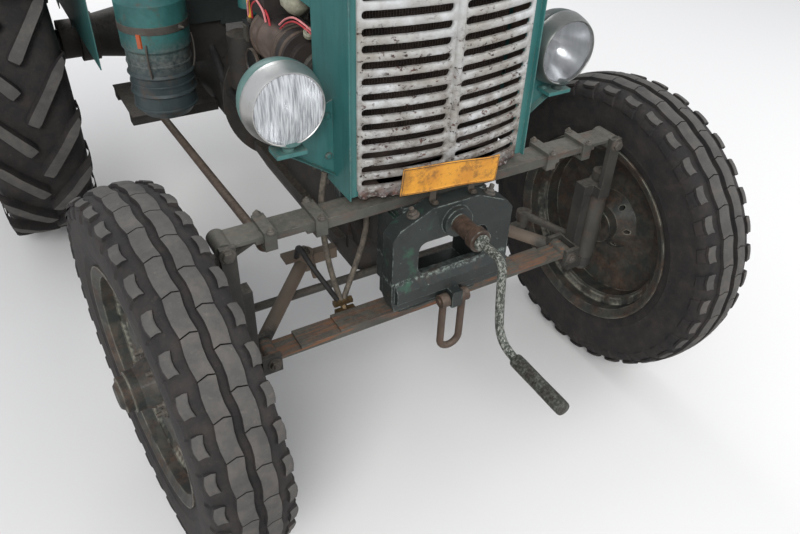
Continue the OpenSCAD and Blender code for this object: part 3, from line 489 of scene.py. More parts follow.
def tube(path, radius, sides):
    """Rings round a path, each turned as little as can be from the last, with closed ends."""
    path = np.array(path, float)
    along = np.gradient(path, axis=0)
    along /= np.linalg.norm(along, axis=1)[:, None]
    side = unit(np.cross(along[0], (0.3, 0.5, 0.81)))
    angle = np.linspace(0, 2 * np.pi, sides, endpoint=False)[:, None]
    radius = np.broadcast_to(radius, len(path))
    rings = []
    for place, forward, wide in zip(path, along, radius):
        side = unit(side - forward * np.dot(side, forward))
        rings.append(place + wide * (np.cos(angle) * side + np.sin(angle) * np.cross(forward, side)))
    ends = [np.broadcast_to(path[i], rings[0].shape) for i in (0, -1)]
    return np.array([ends[0], *rings, ends[1]]).transpose(1, 0, 2)


def add_pipe(shape, path, radius, sides, mark=0):
    """A pipe or rod of that radius round a path."""
    shape.grid(tube(path, radius, sides), mark, closed=True)


def add_turned(shape, profile, parts, turn, mark=0):
    """A turned part: the profile goes round the z axis of turn."""
    shape.grid(moved(lathe(profile, parts), turn), mark, closed=True)


def add_bolt(shape, place, axis, size, mark=0, stud=0.0):
    """A washer, a six-sided head and, where stud is set, the end of a stud in its middle."""
    turn = placed(place, axis)
    washer = [(0, 0.0022), (size * 1.25, 0.0022), (size * 1.3, 0.0016), (size * 1.3, -0.002)]
    add_turned(shape, washer[::-1], 20, turn, mark)
    head = [(size, 0), (size, size * 0.66), (size * 0.86, size * 0.8), (0, size * 0.8)]
    add_turned(shape, head, 6, turn, mark)
    if stud:
        end = [(size * 0.52, 0), (size * 0.52, stud), (size * 0.42, stud + 0.001), (0, stud + 0.001)]
        add_turned(shape, end, 12, turn, mark)


# One row for each sort of wheel: nuts, their circle's radius, place out along the axle, size,
# and the radius inside the rim where the valve stands
wheel_nuts = {"front": (6, 0.072, 0.0425, 0.0105, 0.226), "rear": (8, 0.122, -0.032, 0.0125, 0.328)}
for sort, (count, circle, out, size, rim_in) in wheel_nuts.items():
    for place, side in sides:
        shape = Shape()
        for angle in np.arange(count) * 2 * np.pi / count + np.pi / 6:
            spot = (circle * np.cos(angle), circle * np.sin(angle), out)
            add_bolt(shape, spot, (0, 0, 1), size, stud=0.02)
        turn = wheel_turn(f"{sort}_roll_{place}", side)
        shape.piece(f"{sort}_wheel_nuts_{place}", f"{sort}_wheel_{place}", [nut_steel], turn)

        # The valve stands out of the rim beside the disc
        stem = Shape()
        bend = [(rim_in + 0.004, 0, 0.02), (rim_in - 0.006, 0, 0.024), (rim_in - 0.016, 0, 0.046)]
        add_pipe(stem, bend, 0.004, 10)
        stem.piece(f"{sort}_valve_{place}", f"{sort}_wheel_{place}", [rubber_side], turn)


# Headlamps. Each has a deep painted bowl, a broad satin rim, a mirror with its bulb and a
# domed glass with upright flutes, on a short stud. The left bowl was painted darker.
lamp_low, lamp_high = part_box("headlamps")
glass_low, glass_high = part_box("lamp_lenses")
lamp_x = (lamp_high.x - lamp_low.x + glass_low.z - glass_high.z) / 2 - 0.012
lamp_y = lamp_low.y + 0.003
lamp_z = lamp_low.z + 0.0835
glass_r = 0.0697
# Radius and depth behind the rim's front
rim_line = [
    (glass_r, 0.004), (glass_r + 0.0004, -0.0012), (0.0711, -0.0022), (0.0724, -0.0020),
    (0.0734, -0.0006), (0.0748, 0.0030), (0.0774, 0.0095), (0.0797, 0.018), (0.0816, 0.027),
    (0.0830, 0.036), (0.0824, 0.038)]
bowl_line = [
    (0.0817, 0.0375), (0.0824, 0.0405), (0.0820, 0.050), (0.0800, 0.062), (0.0756, 0.075),
    (0.0685, 0.0865), (0.0576, 0.0955), (0.0436, 0.1030), (0.0251, 0.1080), (0.0116, 0.1095), (0, 0.1097)]
# The stud from its foot up, and how far below the middle and behind the rim's front it sits
stud_line = [(0, 0), (0.011, 0), (0.012, 0.004), (0.011, 0.010), (0.020, 0.014), (0.030, 0.022), (0, 0.028)]
stud_low, stud_back = 0.0925, 0.019
bulb_line = [(0, 0.07), (0.010, 0.07), (0.011, 0.05), (0.0095, 0.042), (0.005, 0.037), (0, 0.036)]
mirror_deep, mirror_rise = 0.078, 0.072


def lamp_rim_metal(name, light, dull):
    f = Finish(name, metallic=0.85)
    fine = f.noise(180, 5, 0.7)
    haze = f.noise(14, 4)
    colour = f.mix(light, dull, haze.over(0.4, 0.75) * 0.7 + fine * 0.2)
    spots = f.noise(90, 4, 0.7).over(0.66, 0.72)
    colour = f.mix(colour, rgb(96, 84, 70), spots * 0.6)
    return f.done(colour, 0.3 + fine * 0.16 + spots * 0.2, fine, 0.0003)


def bowl_paint(name, base, light):
    f = Finish(name, coat=0.1)
    fine = f.noise(70, 5, 0.65)
    colour = f.mix(base, light, f.noise(8, 4).over(0.4, 0.7))
    chips = f.edges(0.004) * f.noise(45, 4).over(0.52, 0.6)
    colour = f.mix(colour, rgb(120, 116, 108), chips.most(f.noise(120).over(0.7, 0.73)))
    return f.done(colour, 0.42 + fine * 0.2, fine * 0.5, 0.0005, rounding=0.002)


def lamp_mirror():
    f = Finish("lamp_mirror", metallic=1.0)
    fine = f.noise(40, 4)
    return f.done(f.mix(rgb(216, 218, 220), rgb(150, 152, 156), fine), 0.26, fine, 0.0004)


def lamp_glass_with_painted_glints(name, solid, light, dark):
    f = Finish(name, coat=0.6)
    f.surface.inputs["Alpha"].default_value = solid
    # Painted highlights: the glass's colour runs in pale and dark upright streaks that stand for light
    # broken by the flutes
    streaks = f.noise(300, 3, 0.5, stretch=(1, 0.1, 0.08)).over(0.42, 0.66) * 0.8
    return f.done(f.mix(light, dark, streaks), 0.14)


mirror = lamp_mirror()
# The two colours of each glass are its painted highlight and the dark between; the right glass's are paler
panes = {"right": lamp_glass_with_painted_glints("lamp_glass_fluted", 0.55, rgb(236, 239, 242), rgb(136, 140, 144)),
         "left": lamp_glass_with_painted_glints("lamp_glass_clear", 0.42, rgb(150, 152, 154), rgb(112, 114, 116))}
rims = {"right": lamp_rim_metal("lamp_rim", rgb(196, 196, 194), rgb(150, 149, 145)),
        "left": lamp_rim_metal("lamp_rim_dull", rgb(140, 141, 138), rgb(96, 98, 94))}
bowls = {"right": bowl_paint("bowl_teal", rgb(62, 98, 94), rgb(96, 128, 122)),
         "left": bowl_paint("bowl_dark", rgb(36, 48, 46), rgb(62, 74, 70))}
# The right glass is fluted and the left one nearly smooth
flutes, flute_depth = 24, {"right": 0.0021, "left": 0.0002}
shells, glasses = [], []
# Which finish of the piece each part wears
in_rim, in_bowl = range(2)


def backward(x, y, z):
    """The turn of a part that lies along the tractor: its z points back and its x left."""
    return placed((x, y, z), (0, 1, 0), (1, 0, 0))


for place, side in sides:
    turn = backward(side * lamp_x, lamp_y, lamp_z)
    shape = Shape()
    shape.grid(lathe(rim_line, 96), in_rim, closed=True)
    shape.grid(lathe(bowl_line, 96), in_bowl, closed=True)
    stud_turn = placed((0, stud_low, stud_back), (0, -1, 0), (1, 0, 0))
    add_turned(shape, stud_line, 32, stud_turn, in_bowl)
    finishes = [rims[place], bowls[place]]
    shells.append(shape.piece("lamp_shell_" + place, "chassis", finishes, turn))

    dish = Shape()
    # The mirror is a paraboloid: its depth falls with the square of the radius
    out = np.linspace(glass_r - 0.0006, 0, 14)
    depth = mirror_deep - mirror_rise * (out / glass_r) ** 2
    dish.grid(lathe(np.stack([out, depth], -1), 64)[:, ::-1], closed=True)
    dish.grid(lathe(bulb_line[::-1], 24), 1, closed=True)
    dish.piece("lamp_mirror_" + place, "chassis", [mirror, panes[place]], turn)

    # The glass is domed, and flutes that fade at top and bottom ripple its face
    x = np.linspace(-0.995, 0.995, flutes * 6 + 1)[:, None] * glass_r
    z = np.linspace(-1, 1, 25)[None, :] * np.sqrt(glass_r**2 - x**2)
    dome = -0.010 + 0.0105 * (x**2 + z**2) / glass_r**2
    wave = abs(np.sin(np.pi * flutes / 2 * (x / glass_r + 1)))
    ripple = flute_depth[place] * wave * (1 - (abs(z) / glass_r) ** 6)
    pane = Shape()
    pane.grid(np.stack([x + 0 * z, z, dome - ripple], -1)[::-1])
    glasses.append(pane.piece("lamp_glass_" + place, "chassis", [panes[place]], turn, 60))
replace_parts(shells[0], "headlamps")
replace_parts(glasses[0], "lamp_lenses")


# The number plate, blank. A pressed sheet with a raised border, buckled, yellow-orange and
# darkened with grease along its edge; it hangs on two straps from the bracket's shoulders.
plate_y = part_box("number_plate")[1].y
plate_w, plate_h, plate_tilt = 0.246, 0.063, math.radians(6)
plate_x, plate_z, plate_thick = -0.014, 0.780, 0.0012
strap_x, strap_half, strap_thick = 0.050, 0.008, 0.0028
in_yellow, in_steel = range(2)


def plate_paint():
    f = Finish("plate_yellow", coat=0.08)
    fine = f.noise(120, 6, 0.7)
    colour = f.mix(rgb(212, 148, 46), rgb(186, 122, 38), f.noise(14, 4).over(0.4, 0.7))
    right_end = 1.0 - f.along("X").over(-0.128, -0.105)
    grime = f.noise(34, 6, 0.7).over(0.52, 0.68).most(right_end * f.noise(60, 4).over(0.3, 0.55))
    colour = f.mix(colour, rgb(84, 60, 36), grime * 0.7)
    colour = f.mix(colour, rgb(110, 78, 40), f.noise(140, 5, 0.7).over(0.56, 0.64) * 0.5)
    wear = f.edges(0.0015) * f.noise(60, 4).over(0.4, 0.55)
    colour = f.mix(colour, rgb(70, 58, 44), wear)
    return f.done(colour, 0.42 + fine * 0.2, fine - wear, 0.0004)


def backing_steel():
    f = Finish("plate_straps", metallic=0.4)
    fine = f.noise(60, 5, 0.7)
    return f.done(f.mix(rgb(48, 43, 38), rgb(84, 76, 66), fine), 0.6, fine, 0.0006)


def across_sheet(near, first, count):
    """Places from 0 to 1: those in near at each edge, and count even ones between."""
    near = np.array(near)
    return np.concatenate([near, np.linspace(first, 1 - first, count), 1 - near[::-1]])


# A border that swells in a bell curve near the edge, on a sheet buckled in one long wave
u = across_sheet([0, 0.006, 0.010, 0.016, 0.022], 0.06, 23)[:, None]
v = across_sheet([0, 0.022, 0.036, 0.055, 0.085], 0.15, 7)[None, :]
margin = np.minimum(np.minimum(u, 1 - u) * plate_w, np.minimum(v, 1 - v) * plate_h)
border = 0.0014 * np.exp(-(((margin - 0.0032) / 0.0013) ** 2))
buckle = 0.0035 * np.sin(u * 7.5 + v * 1.5) * u - 0.0025 * np.clip(u - 0.86, 0, 1) / 0.14
flat_x, flat_z = (u - 0.5) * plate_w + 0 * v, (v - 0.04) * plate_h + 0 * u
near_edge = margin[:-1, :-1] + margin[1:, 1:]
is_dark = (near_edge > 0.0050) & (near_edge < 0.0085) | (near_edge < 0.0012)
plate = Shape()
back = -0.0023 - border - buckle
plate.grid(np.stack([flat_x, back - plate_thick, flat_z], -1), np.where(is_dark, in_steel, in_yellow))
plate.grid(np.stack([flat_x, back, flat_z], -1)[:, ::-1], in_steel)
plate_frame = np.eye(4)
plate_frame[:3, :3] = np.array(Matrix.Rotation(plate_tilt, 3, "Y"))
plate_frame[:3, 3] = (plate_x, plate_y - 0.005, plate_z)
plate.points = [moved(points, plate_frame) for points in plate.points]
# Along a strap, from its foot on the shoulder up behind the plate: y from the plate, height
strap_line = ((-0.017, 0.7495), (-0.006, 0.7495), (-0.0025, 0.753), (-0.0025, 0.806))
for x in (-strap_x, strap_x):
    for out in (0.0, strap_thick):
        near, far = ([(edge, plate_y + y + out, z + out) for y, z in strap_line]
                     for edge in (x - strap_half, x + strap_half))
        sheet = np.stack([near, far], 1)
        plate.grid(sheet[:, ::-1] if out else sheet, in_steel)
    add_bolt(plate, (x, plate_y - 0.012, 0.753), (0, 0, 1), 0.006, in_steel)
made = plate.piece("number_plate_face", "chassis", [plate_paint(), backing_steel()], smooth=50)
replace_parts(made, "number_plate")


# The grille. A bowed steel plate with a rounded rib and two columns of slots whose edges are
# rolled inwards; silver paint has flaked off to rust, most of all along its crumpled foot.
# The front axle line, from which much is measured, lies 35 mm behind the king pins.
axle_y = joints["front_steer_right"]["pos_m"][1] + 0.035
grille_low, grille_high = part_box("grille")
grille_half = grille_high.x
slot_z0, slot_pitch, slot_h, slot_rows = grille_low.z + 0.008, 0.0315, 0.0155, 17


def grille_paint():
    f = Finish("grille_silver", coat=0.05)
    fine = f.noise(140, 6, 0.7)
    clouds = f.noise(11, 5)
    low = 1.0 - f.along("Z").over(0.78, 1.15)
    colour = f.mix(rgb(188, 190, 190), rgb(150, 146, 138), clouds.over(0.35, 0.65))
    grime = (low * 0.8 + 0.3) * f.noise(34, 6, 0.7).over(0.38, 0.62)
    colour = f.mix(colour, rgb(98, 88, 78), grime * 0.9)
    scale = f.noise(70, 5, 0.75, stretch=(1, 1, 1.6))
    chips = scale.over(0.575, 0.605) * (clouds + low * 0.45).over(0.42, 0.62)
    wear = f.edges(0.0022) * f.noise(60, 4).over(0.5, 0.62)
    foot = (1.0 - f.along("Z").over(0.776, 0.805)) * f.noise(55, 5, 0.7).over(0.40, 0.50)
    chips = chips.most(wear).most(foot)
    rust = f.mix(rgb(44, 33, 28), rgb(104, 72, 62), f.noise(45).over(0.42, 0.68))
    colour = f.mix(colour, rust, chips)
    return f.done(colour, 0.42 + fine * 0.2 + chips * 0.3, fine * 0.3 - chips, 0.0007, rounding=0.0015)


def plate_front(x):
    """The grille's bow: y goes back from the rib with the square of the distance x from it."""
    return axle_y - 0.0765 + 0.757 * x**2


def add_slot(shape, z, side):
    """The plate round one slot: rings from the slot's rolled edge out to the slats' middles."""
    r, tall = slot_h / 2, slot_pitch / 2
    inner, outer = 0.0145 + r, grille_half - 0.009 - r
    edge, limit = [], []
    # Each end of the slot: its centre, which way it faces and the room beyond the centre
    for x, way, room in ((outer, 1, grille_half - outer), (inner, -1, inner)):
        corner = np.arctan2(tall, room)
        a = np.sort([*np.linspace(-np.pi / 2, np.pi / 2, 15), corner, -corner])
        out = np.stack([np.cos(a), np.sin(a)], -1) * way
        far = np.minimum(room / np.cos(a).clip(1e-9), tall / abs(np.sin(a)).clip(1e-9))
        straight = np.linspace(outer, inner, 14)[1:-1][::way]
        edge += [out * r + (x, 0), np.stack([straight, 0 * straight + way * r], -1)]
        limit += [out * far[:, None] + (x, 0), np.stack([straight, 0 * straight + way * tall], -1)]
    edge, limit = np.vstack(edge)[:, None], np.vstack(limit)[:, None]
    share = np.array([0, 0, 0, 0.06, 0.16, 0.32, 0.6, 1])[None, :, None]
    flat = edge + (limit - edge) * share
    sink = 0.0046 * (1 - (1 - (1 - share[..., 0]) ** 2.4) ** 0.5) + [0.005, 0.002, 0, 0, 0, 0, 0, 0]
    x = flat[..., 0]
    points = np.stack([side * x, plate_front(x) + sink, z + flat[..., 1]], -1)
    shape.grid(points[:, ::-side], closed=True)


grille = Shape()
for row in range(slot_rows):
    for side in (-1, 1):
        add_slot(grille, slot_z0 + slot_h / 2 + row * slot_pitch, side)
x = np.linspace(-grille_half, grille_half, 61)[:, None]
top_edge = slot_z0 + slot_h / 2 + (slot_rows - 0.5) * slot_pitch
strip = np.array([top_edge, grille_high.z - 0.004, grille_high.z - 0.001, grille_high.z])
grille.grid(np.stack(np.broadcast_arrays(x, plate_front(x) + [0, 0, 0.001, 0.005], strip), -1))
z = np.linspace(grille_low.z, grille_high.z, 30)[:, None]
for side in (-1, 1):
    out = side * (grille_half + np.array([0, 0.0008, 0.001]))
    back = plate_front(grille_half) + np.array([0, 0.001, 0.007])
    grille.grid(np.stack(np.broadcast_arrays(out, back, z), -1)[:, ::-side])
# The foot below the lowest slots is crumpled: three waves run across it, grow downwards and
# are worst near both corners
u, v = np.linspace(-grille_half, grille_half, 161)[:, None], np.linspace(0, 1, 12)[None, :]
bent = 0.3 + np.exp(-(((u + 0.165) / 0.05) ** 2)) + 0.8 * np.exp(-(((u - 0.175) / 0.04) ** 2))
waves = np.sin(61 * u + 5 * v) + np.sin(143 * u - 4 * v + 1) + 0.7 * np.sin(310 * u + 9 * v + 2)
drop = v * (0.019 + 0.003 * np.sin(47 * u) + 0.002 * np.sin(190 * u) * bent)
foot_y = plate_front(u) - 0.0021 * waves * v * bent
grille.grid(np.stack([u + 0 * v, foot_y, grille_low.z - drop], -1)[:, ::-1])
# The rib up the middle is half an ellipse across, and swell thins it out at both ends
rise = np.array([0.872, 0.874, 0.880, *np.linspace(0.9, grille_high.z - 0.006, 12), grille_high.z - 0.002])
swell = np.array([0.2, 0.65, 1, *[1] * 12, 0.4])
across = np.sin(np.linspace(-np.pi / 2, np.pi / 2, 15))
bulge = plate_front(0) + 0.001 - 0.0105 * np.outer(swell, np.sqrt(1 - across**2))
grille.grid(np.stack([0.0088 * np.outer(swell, across), bulge, rise[:, None] + 0 * bulge], -1)[:, ::-1])
made = grille.piece("grille_plate", "chassis", [grille_paint()], smooth=45)
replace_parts(made, "grille")


# The radiator's core behind the grille: upright water tubes crossed by thin level fins, all
# brown and dusty. Its lower tank, a closing sheet and liners keep the shell's inside dark;
# the liners are painted shade, dark sheets inside its side walls where there is only shadow.
core_front, core_half, core_z0, core_z1 = axle_y + 0.020, 0.188, 0.852, 1.248
water_pitch, fin_pitch = 0.0066, 0.0048


def core_metal():
    f = Finish("radiator_core", metallic=0.25)
    fine = f.noise(60, 5, 0.7)
    colour = f.mix(rgb(46, 38, 35), rgb(88, 74, 66), f.noise(12, 5).over(0.35, 0.7))
    return f.done(f.mix(colour, rgb(116, 104, 92), fine.over(0.55, 0.75) * 0.5), 0.7)


core = Shape()
for x in np.arange(-core_half, core_half, water_pitch):
    core.box((x, core_front - 0.004, core_z0), (x + 0.0017, core_front + 0.0005, core_z1))
for z in np.arange(core_z0, core_z1, fin_pitch):
    core.box((-core_half, core_front - 0.0028, z), (core_half, core_front + 0.0005, z + 0.0007))
core_back, sheet_z = core_front - 0.006, grille_low.z + 0.002
core.box((-core_half, axle_y + 0.002, sheet_z), (core_half, core_back, core_z0 - 0.002))
# The closing sheet narrows to the front: half its width, reach ahead of the axle line
for half, front in ((0.15, 0.060), (0.19, 0.045)):
    core.box((-half, axle_y - front, grille_low.z), (half, core_back, sheet_z))
# Painted shade: a dark liner just inside each side wall of the shell, standing for its shadowed inside
for side in (-1, 1):
    low_x, high_x = sorted((side * (grille_half - 0.004), side * (grille_half - 0.002)))
    core.box((low_x, plate_front(grille_half) + 0.014, sheet_z), (high_x, core_front, core_z1))
core.piece("radiator_core_fins", "chassis", [core_metal()], smooth=20)


# The lamps' brackets: a sheet gusset from the shell's side to below each lamp, its lower
# edge turned forward, with a thick foot for the lamp's stud.
gusset_y, gusset_thick = axle_y + 0.022, 0.003
foot_low, foot_high = 0.891, 0.900
shell_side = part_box("radiator_shell")[1].x
# Along the gusset: distance from the middle, lower edge, upper edge
gusset_line = np.array([
    [shell_side, 0.806, 0.972], [0.250, 0.823, 0.962], [0.275, 0.840, 0.942], [0.300, 0.858, 0.918],
    [0.325, 0.874, 0.907], [0.350, 0.888, 0.903], [0.364, 0.896, 0.901]])


def gusset_edges(x, ring):
    """Long edges that follow the gusset, one for each pair of a depth and its heights."""
    return np.array([np.stack([x, gusset_y + y + 0 * x, z], -1) for y, z in ring])


def closed_bar(edges):
    """A bar of four long edges, given as edges x places x 3, with both its ends pinched shut."""
    middle = edges.mean(0)
    first, last = (np.broadcast_to(middle[i], (4, 1, 3)) for i in (0, -1))
    return np.concatenate([first, edges, last], 1)


gusset = Shape()
for side in (-1, 1):
    x, low, high = (gusset_line * (side, 1, 1)).T
    sheet = gusset_edges(x, [(0, low), (0, high), (gusset_thick, high), (gusset_thick, low)])
    gusset.grid(closed_bar(sheet)[::side], closed=True)
    lip = [(-0.014, low - 0.002), (-0.014, low), (0.002, low + 0.002), (0.002, low - 0.001)]
    gusset.grid(gusset_edges(x, lip)[::side], closed=True)
    low_x, high_x = sorted((side * 0.302, side * 0.366))
    gusset.box((low_x, gusset_y - 0.044, foot_low), (high_x, gusset_y - 0.0005, foot_high))
    add_bolt(gusset, (side * 0.312, gusset_y - 0.012, foot_high), (0, 0, 1), 0.006)
    for z in (0.85, 0.94):
        add_bolt(gusset, (side * (shell_side + 0.012), gusset_y, z), (0, -1, 0), 0.006)
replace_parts(gusset.piece("lamp_gussets", "chassis", [teal], smooth=30), "lamp_brackets")


# Springs, bracket and king-pin carriers. Dusty springs with an orange rust streak along the
# lower one; a dark green casting scuffed at its crease; struts bleached to a tan rust.
def spring_leaves():
    f = Finish("spring_leaves", metallic=0.1)
    fine = f.noise(110, 6, 0.7)
    clouds = f.noise(9, 5, 0.6)
    colour = f.mix(rgb(62, 63, 58), rgb(92, 91, 84), clouds.over(0.35, 0.7))
    red = f.noise(12, 5, 0.65, stretch=(1, 4, 4)).over(0.5, 0.66)
    colour = f.mix(colour, rgb(98, 66, 56), red * 0.5)
    low = 1.0 - f.along("Z").over(0.45, 0.55)
    streak = f.noise(16, 5, 0.7, stretch=(0.5, 5, 6)).over(0.5, 0.6) * low
    colour = f.mix(colour, rgb(146, 88, 48), streak * 0.6)
    dust = f.upward() * fine.over(0.35, 0.7)
    colour = f.mix(colour, rgb(116, 110, 98), dust * 0.55)
    wear = f.edges(0.003) * f.noise(40, 3).over(0.5, 0.6)
    colour = f.mix(colour, rgb(136, 128, 114), wear * 0.6)
    return f.done(colour, 0.58 + fine * 0.25, fine * 0.7 + clouds * 0.4, 0.0014, rounding=0.003)


def bracket_green():
    f = Finish("bracket_green", coat=0.08)
    fine = f.noise(100, 6, 0.7)
    clouds = f.noise(7, 5, 0.6)
    colour = f.mix(rgb(24, 29, 28), rgb(40, 46, 44), clouds.over(0.35, 0.7))
    right_side = 1.0 - f.along("X").over(-0.085, 0.02)
    colour = f.mix(colour, rgb(44, 92, 70), f.noise(22, 4).over(0.58, 0.7) * right_side * 0.6)
    colour = f.mix(colour, rgb(66, 50, 40), f.noise(24, 6, 0.7).over(0.56, 0.7) * 0.6)
    sleeve = 1.0 - f.along("Y").over(axle_y - 0.134, axle_y - 0.132)
    height = f.along("Z")
    brown = f.mix(rgb(38, 29, 24), rgb(78, 60, 48), fine.over(0.35, 0.65))
    colour = f.mix(colour, brown, sleeve * height.over(0.655, 0.662) * 0.9)
    scuffs = (f.edges(0.005) * f.noise(60, 4).over(0.46, 0.6)).most(f.noise(150, 3).over(0.72, 0.75))
    crease = height.over(0.564, 0.571) * (1.0 - height.over(0.573, 0.579))
    crease = crease * f.noise(120, 5, 0.75).over(0.5, 0.56) * 0.7
    colour = f.mix(colour, rgb(134, 146, 138), scuffs.most(crease))
    bump = fine * 0.5 + clouds * 0.4 - scuffs * 0.3
    return f.done(colour, 0.46 + fine * 0.25, bump, 0.0015, rounding=0.004)


def carrier_iron():
    f = Finish("carrier_iron", metallic=0.1)
    fine = f.noise(90, 6, 0.7)
    clouds = f.noise(8, 5, 0.6)
    colour = f.mix(rgb(38, 38, 36), rgb(66, 65, 60), clouds.over(0.35, 0.7))
    strut = f.along("Y").over(axle_y + 0.02, axle_y + 0.04)
    tan = f.mix(rgb(92, 78, 68), rgb(132, 116, 100), clouds.over(0.3, 0.7) * 0.6 + fine * 0.4)
    colour = f.mix(colour, tan, strut * 0.9)
    dust = (f.upward() * 0.7 + 0.12) * fine.over(0.32, 0.68)
    colour = f.mix(colour, rgb(104, 98, 88), dust)
    wear = f.edges(0.003) * f.noise(40, 3).over(0.5, 0.65)
    colour = f.mix(colour, rgb(120, 114, 106), wear * 0.6)
    return f.done(colour, 0.6 + fine * 0.25, fine * 0.6 + clouds * 0.4, 0.0014, rounding=0.003)


dress(spring_leaves(), "leaf_springs")
dress(bracket_green(), "front_bracket")
dress(carrier_iron(), "kingpin_carriers")

bolts = Shape()
# Nuts and bolts on the front: place, axis, size, length of the stud past the nut
front_bolts = [((side * 0.100, axle_y - 0.099, 0.733), (side * 0.3, 0, 1), 0.011, 0.02) for side in (-1, 1)]
for side in (-1, 1):
    for x in (0.41, 0.30):
        for y in (-0.072, 0.002):
            front_bolts.append(((side * x, axle_y + y, 0.769), (0, 0, 1), 0.007, 0.008))
    front_bolts.append(((side * 0.502, axle_y - 0.079, 0.747), (0, -1, 0), 0.013, 0.0))
    front_bolts.append(((side * 0.43, axle_y - 0.0773, 0.42), (0, -1, 0), 0.013, 0.012))
    front_bolts.append(((side * 0.235, axle_y + 0.2, 0.486), (0, 0, 1), 0.012, 0.014))
for place, axis, size, stud in front_bolts:
    add_bolt(bolts, place, axis, size, stud=stud)
# Along the engine: cylinder head, sump flange and the block's side cover, then the rocker cover
head_low, head_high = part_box("cylinder_head")
for y in np.linspace(head_low.y + 0.03, head_high.y - 0.03, 8):
    for side in (-1, 1):
        add_bolt(bolts, (side * 0.089, y, 0.985), (0, 0, 1), 0.0095, stud=0.012)
        add_bolt(bolts, (side * 0.137, y + 0.01, 0.48), (0, 0, -1), 0.007)
        add_bolt(bolts, (side * 0.125, y, 0.62), (side, 0, 0), 0.007)
for y in (head_low.y + 0.16, head_high.y - 0.22):
    add_bolt(bolts, (0, y, 1.055), (0, 0, 1), 0.014)
bolts.piece("chassis_bolts", "chassis", [nut_steel], smooth=30)


# The starting handle: a cranked bar with a long grip, its black and green paint flaked to
# a fine bright speckle of steel.
def flaked_crank():
    f = Finish("flaked_crank", metallic=0.3)
    fine = f.noise(240, 5, 0.7)
    colour = f.mix(rgb(40, 44, 39), rgb(74, 80, 70), f.noise(40, 5))
    bright = f.noise(190, 6, 0.8, stretch=(1, 1, 0.6)).over(0.49, 0.55)
    along = f.along("Y")
    grip = 1.0 - along.over(axle_y - 0.385, axle_y - 0.375)
    colour = f.mix(colour, f.mix(rgb(112, 116, 108), rgb(190, 190, 182), fine), bright * (1.0 - grip * 0.6))
    colour = f.mix(colour, rgb(44, 33, 28), grip * f.noise(70, 4).over(0.35, 0.6) * 0.7)
    return f.done(colour, 0.36 + fine * 0.25, bright * 0.6 + fine * 0.4, 0.0005)


def through(points, steps=6):
    """A smooth path through a few points, by the Catmull-Rom formula."""
    p = np.array(points, float)
    p = np.vstack([2 * p[0] - p[1], p, 2 * p[-1] - p[-2]])
    t = np.linspace(0, 1, steps, endpoint=False)[:, None]
    spans = []
    for a, b, c, d in zip(p[:-3], p[1:-2], p[2:-1], p[3:]):
        slope, bend, twist = (c - a) / 2, a - 2.5 * b + 2 * c - d / 2, 1.5 * (b - c) + (d - a) / 2
        spans.append(b + t * slope + t**2 * bend + t**3 * twist)
    return np.vstack([*spans, p[-2:-1]])


# Middle line of the bar, from the cross-member out: y from the front axle line, height
bar_r, crank_z, grip_z = 0.0098, 0.702, 0.497
bar_line = [
    (-0.092, crank_z), (-0.16, crank_z), (-0.235, crank_z), (-0.274, 0.701), (-0.291, 0.690),
    (-0.295, 0.665), (-0.301, 0.61), (-0.307, 0.565), (-0.315, 0.532), (-0.332, 0.510),
    (-0.358, 0.500), (-0.395, grip_z)]
# The grip and the collar: radius, place along the bar
grip_line = [
    (0, 0), (0.0145, 0.0008), (0.0158, 0.004), (0.0162, 0.02), (0.0158, 0.08), (0.0162, 0.14),
    (0.0158, 0.156), (0.0142, 0.1595), (0, 0.16)]
collar_line = [(0, 0), (0.017, 0.0005), (0.0185, 0.002), (0.0185, 0.006), (0.017, 0.0085), (0, 0.0087)]
handle = Shape()
add_pipe(handle, through([(0, axle_y + y, z) for y, z in bar_line]), bar_r, 24)
add_turned(handle, grip_line, 32, backward(0, axle_y - 0.536, grip_z))
add_turned(handle, collar_line, 32, backward(0, axle_y - 0.222, crank_z))
crank_body = joints["handle_turn"]["child"]
made = handle.piece("handle_bar", crank_body, [flaked_crank()], smooth=50)
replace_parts(made, "starting_handle")


# The air cleaner on the right: a tall oil-bath drum of teal sheet, gone grey-blue on its
# bowl, with rolled beads, a bolted clamp, spring catches and an orange reflector.
cleaner = np.array([-0.392, axle_y + 0.760, 0])


def cleaner_paint():
    f = Finish("air_cleaner_paint", coat=0.1)
    fine = f.noise(90, 6, 0.7)
    clouds = f.noise(9, 5, 0.6)
    height = f.along("Z")
    teal_share = height.over(0.84, 0.90)
    colour = f.mix(rgb(36, 46, 48), rgb(56, 68, 70), clouds.over(0.3, 0.7))
    colour = f.mix(colour, f.mix(rgb(28, 74, 73), rgb(54, 108, 104), clouds.over(0.35, 0.65)), teal_share)
    band = height.over(0.79, 0.83) * (1.0 - height.over(0.86, 0.90))
    colour = f.mix(colour, rgb(112, 116, 110), band * fine.over(0.38, 0.62) * 0.6)
    rust = f.noise(30, 6, 0.7).over(0.56, 0.68)
    colour = f.mix(colour, rgb(76, 58, 44), rust * 0.6)
    wear = f.edges(0.003) * f.noise(40, 3).over(0.46, 0.6)
    colour = f.mix(colour, rgb(128, 132, 126), wear * 0.6)
    return f.done(colour, 0.4 + fine * 0.25, fine * 0.5 + clouds * 0.5, 0.0012, rounding=0.002)


def reflector_orange():
    f = Finish("reflector_orange", coat=0.6)
    return f.done(f.mix(rgb(150, 62, 26), rgb(182, 86, 36), f.noise(90, 3)), 0.25)


cleaner_teal = cleaner_paint()
dress(cleaner_teal, "air_cleaner")
in_teal, in_steel, in_orange = range(3)
trim = Shape()
for z in (0.702, 0.770, 0.826):
    bead = [(0.0835, z - 0.004), (0.0858, z - 0.003), (0.0866, z), (0.0858, z + 0.003), (0.0835, z + 0.004)]
    trim.grid(lathe(bead, 64) + cleaner, in_teal, closed=True)
clamp = [(0.0895, 0.914), (0.0912, 0.9145), (0.0912, 0.9335), (0.0895, 0.934)]
trim.grid(lathe(clamp, 64) + cleaner, in_steel, closed=True)
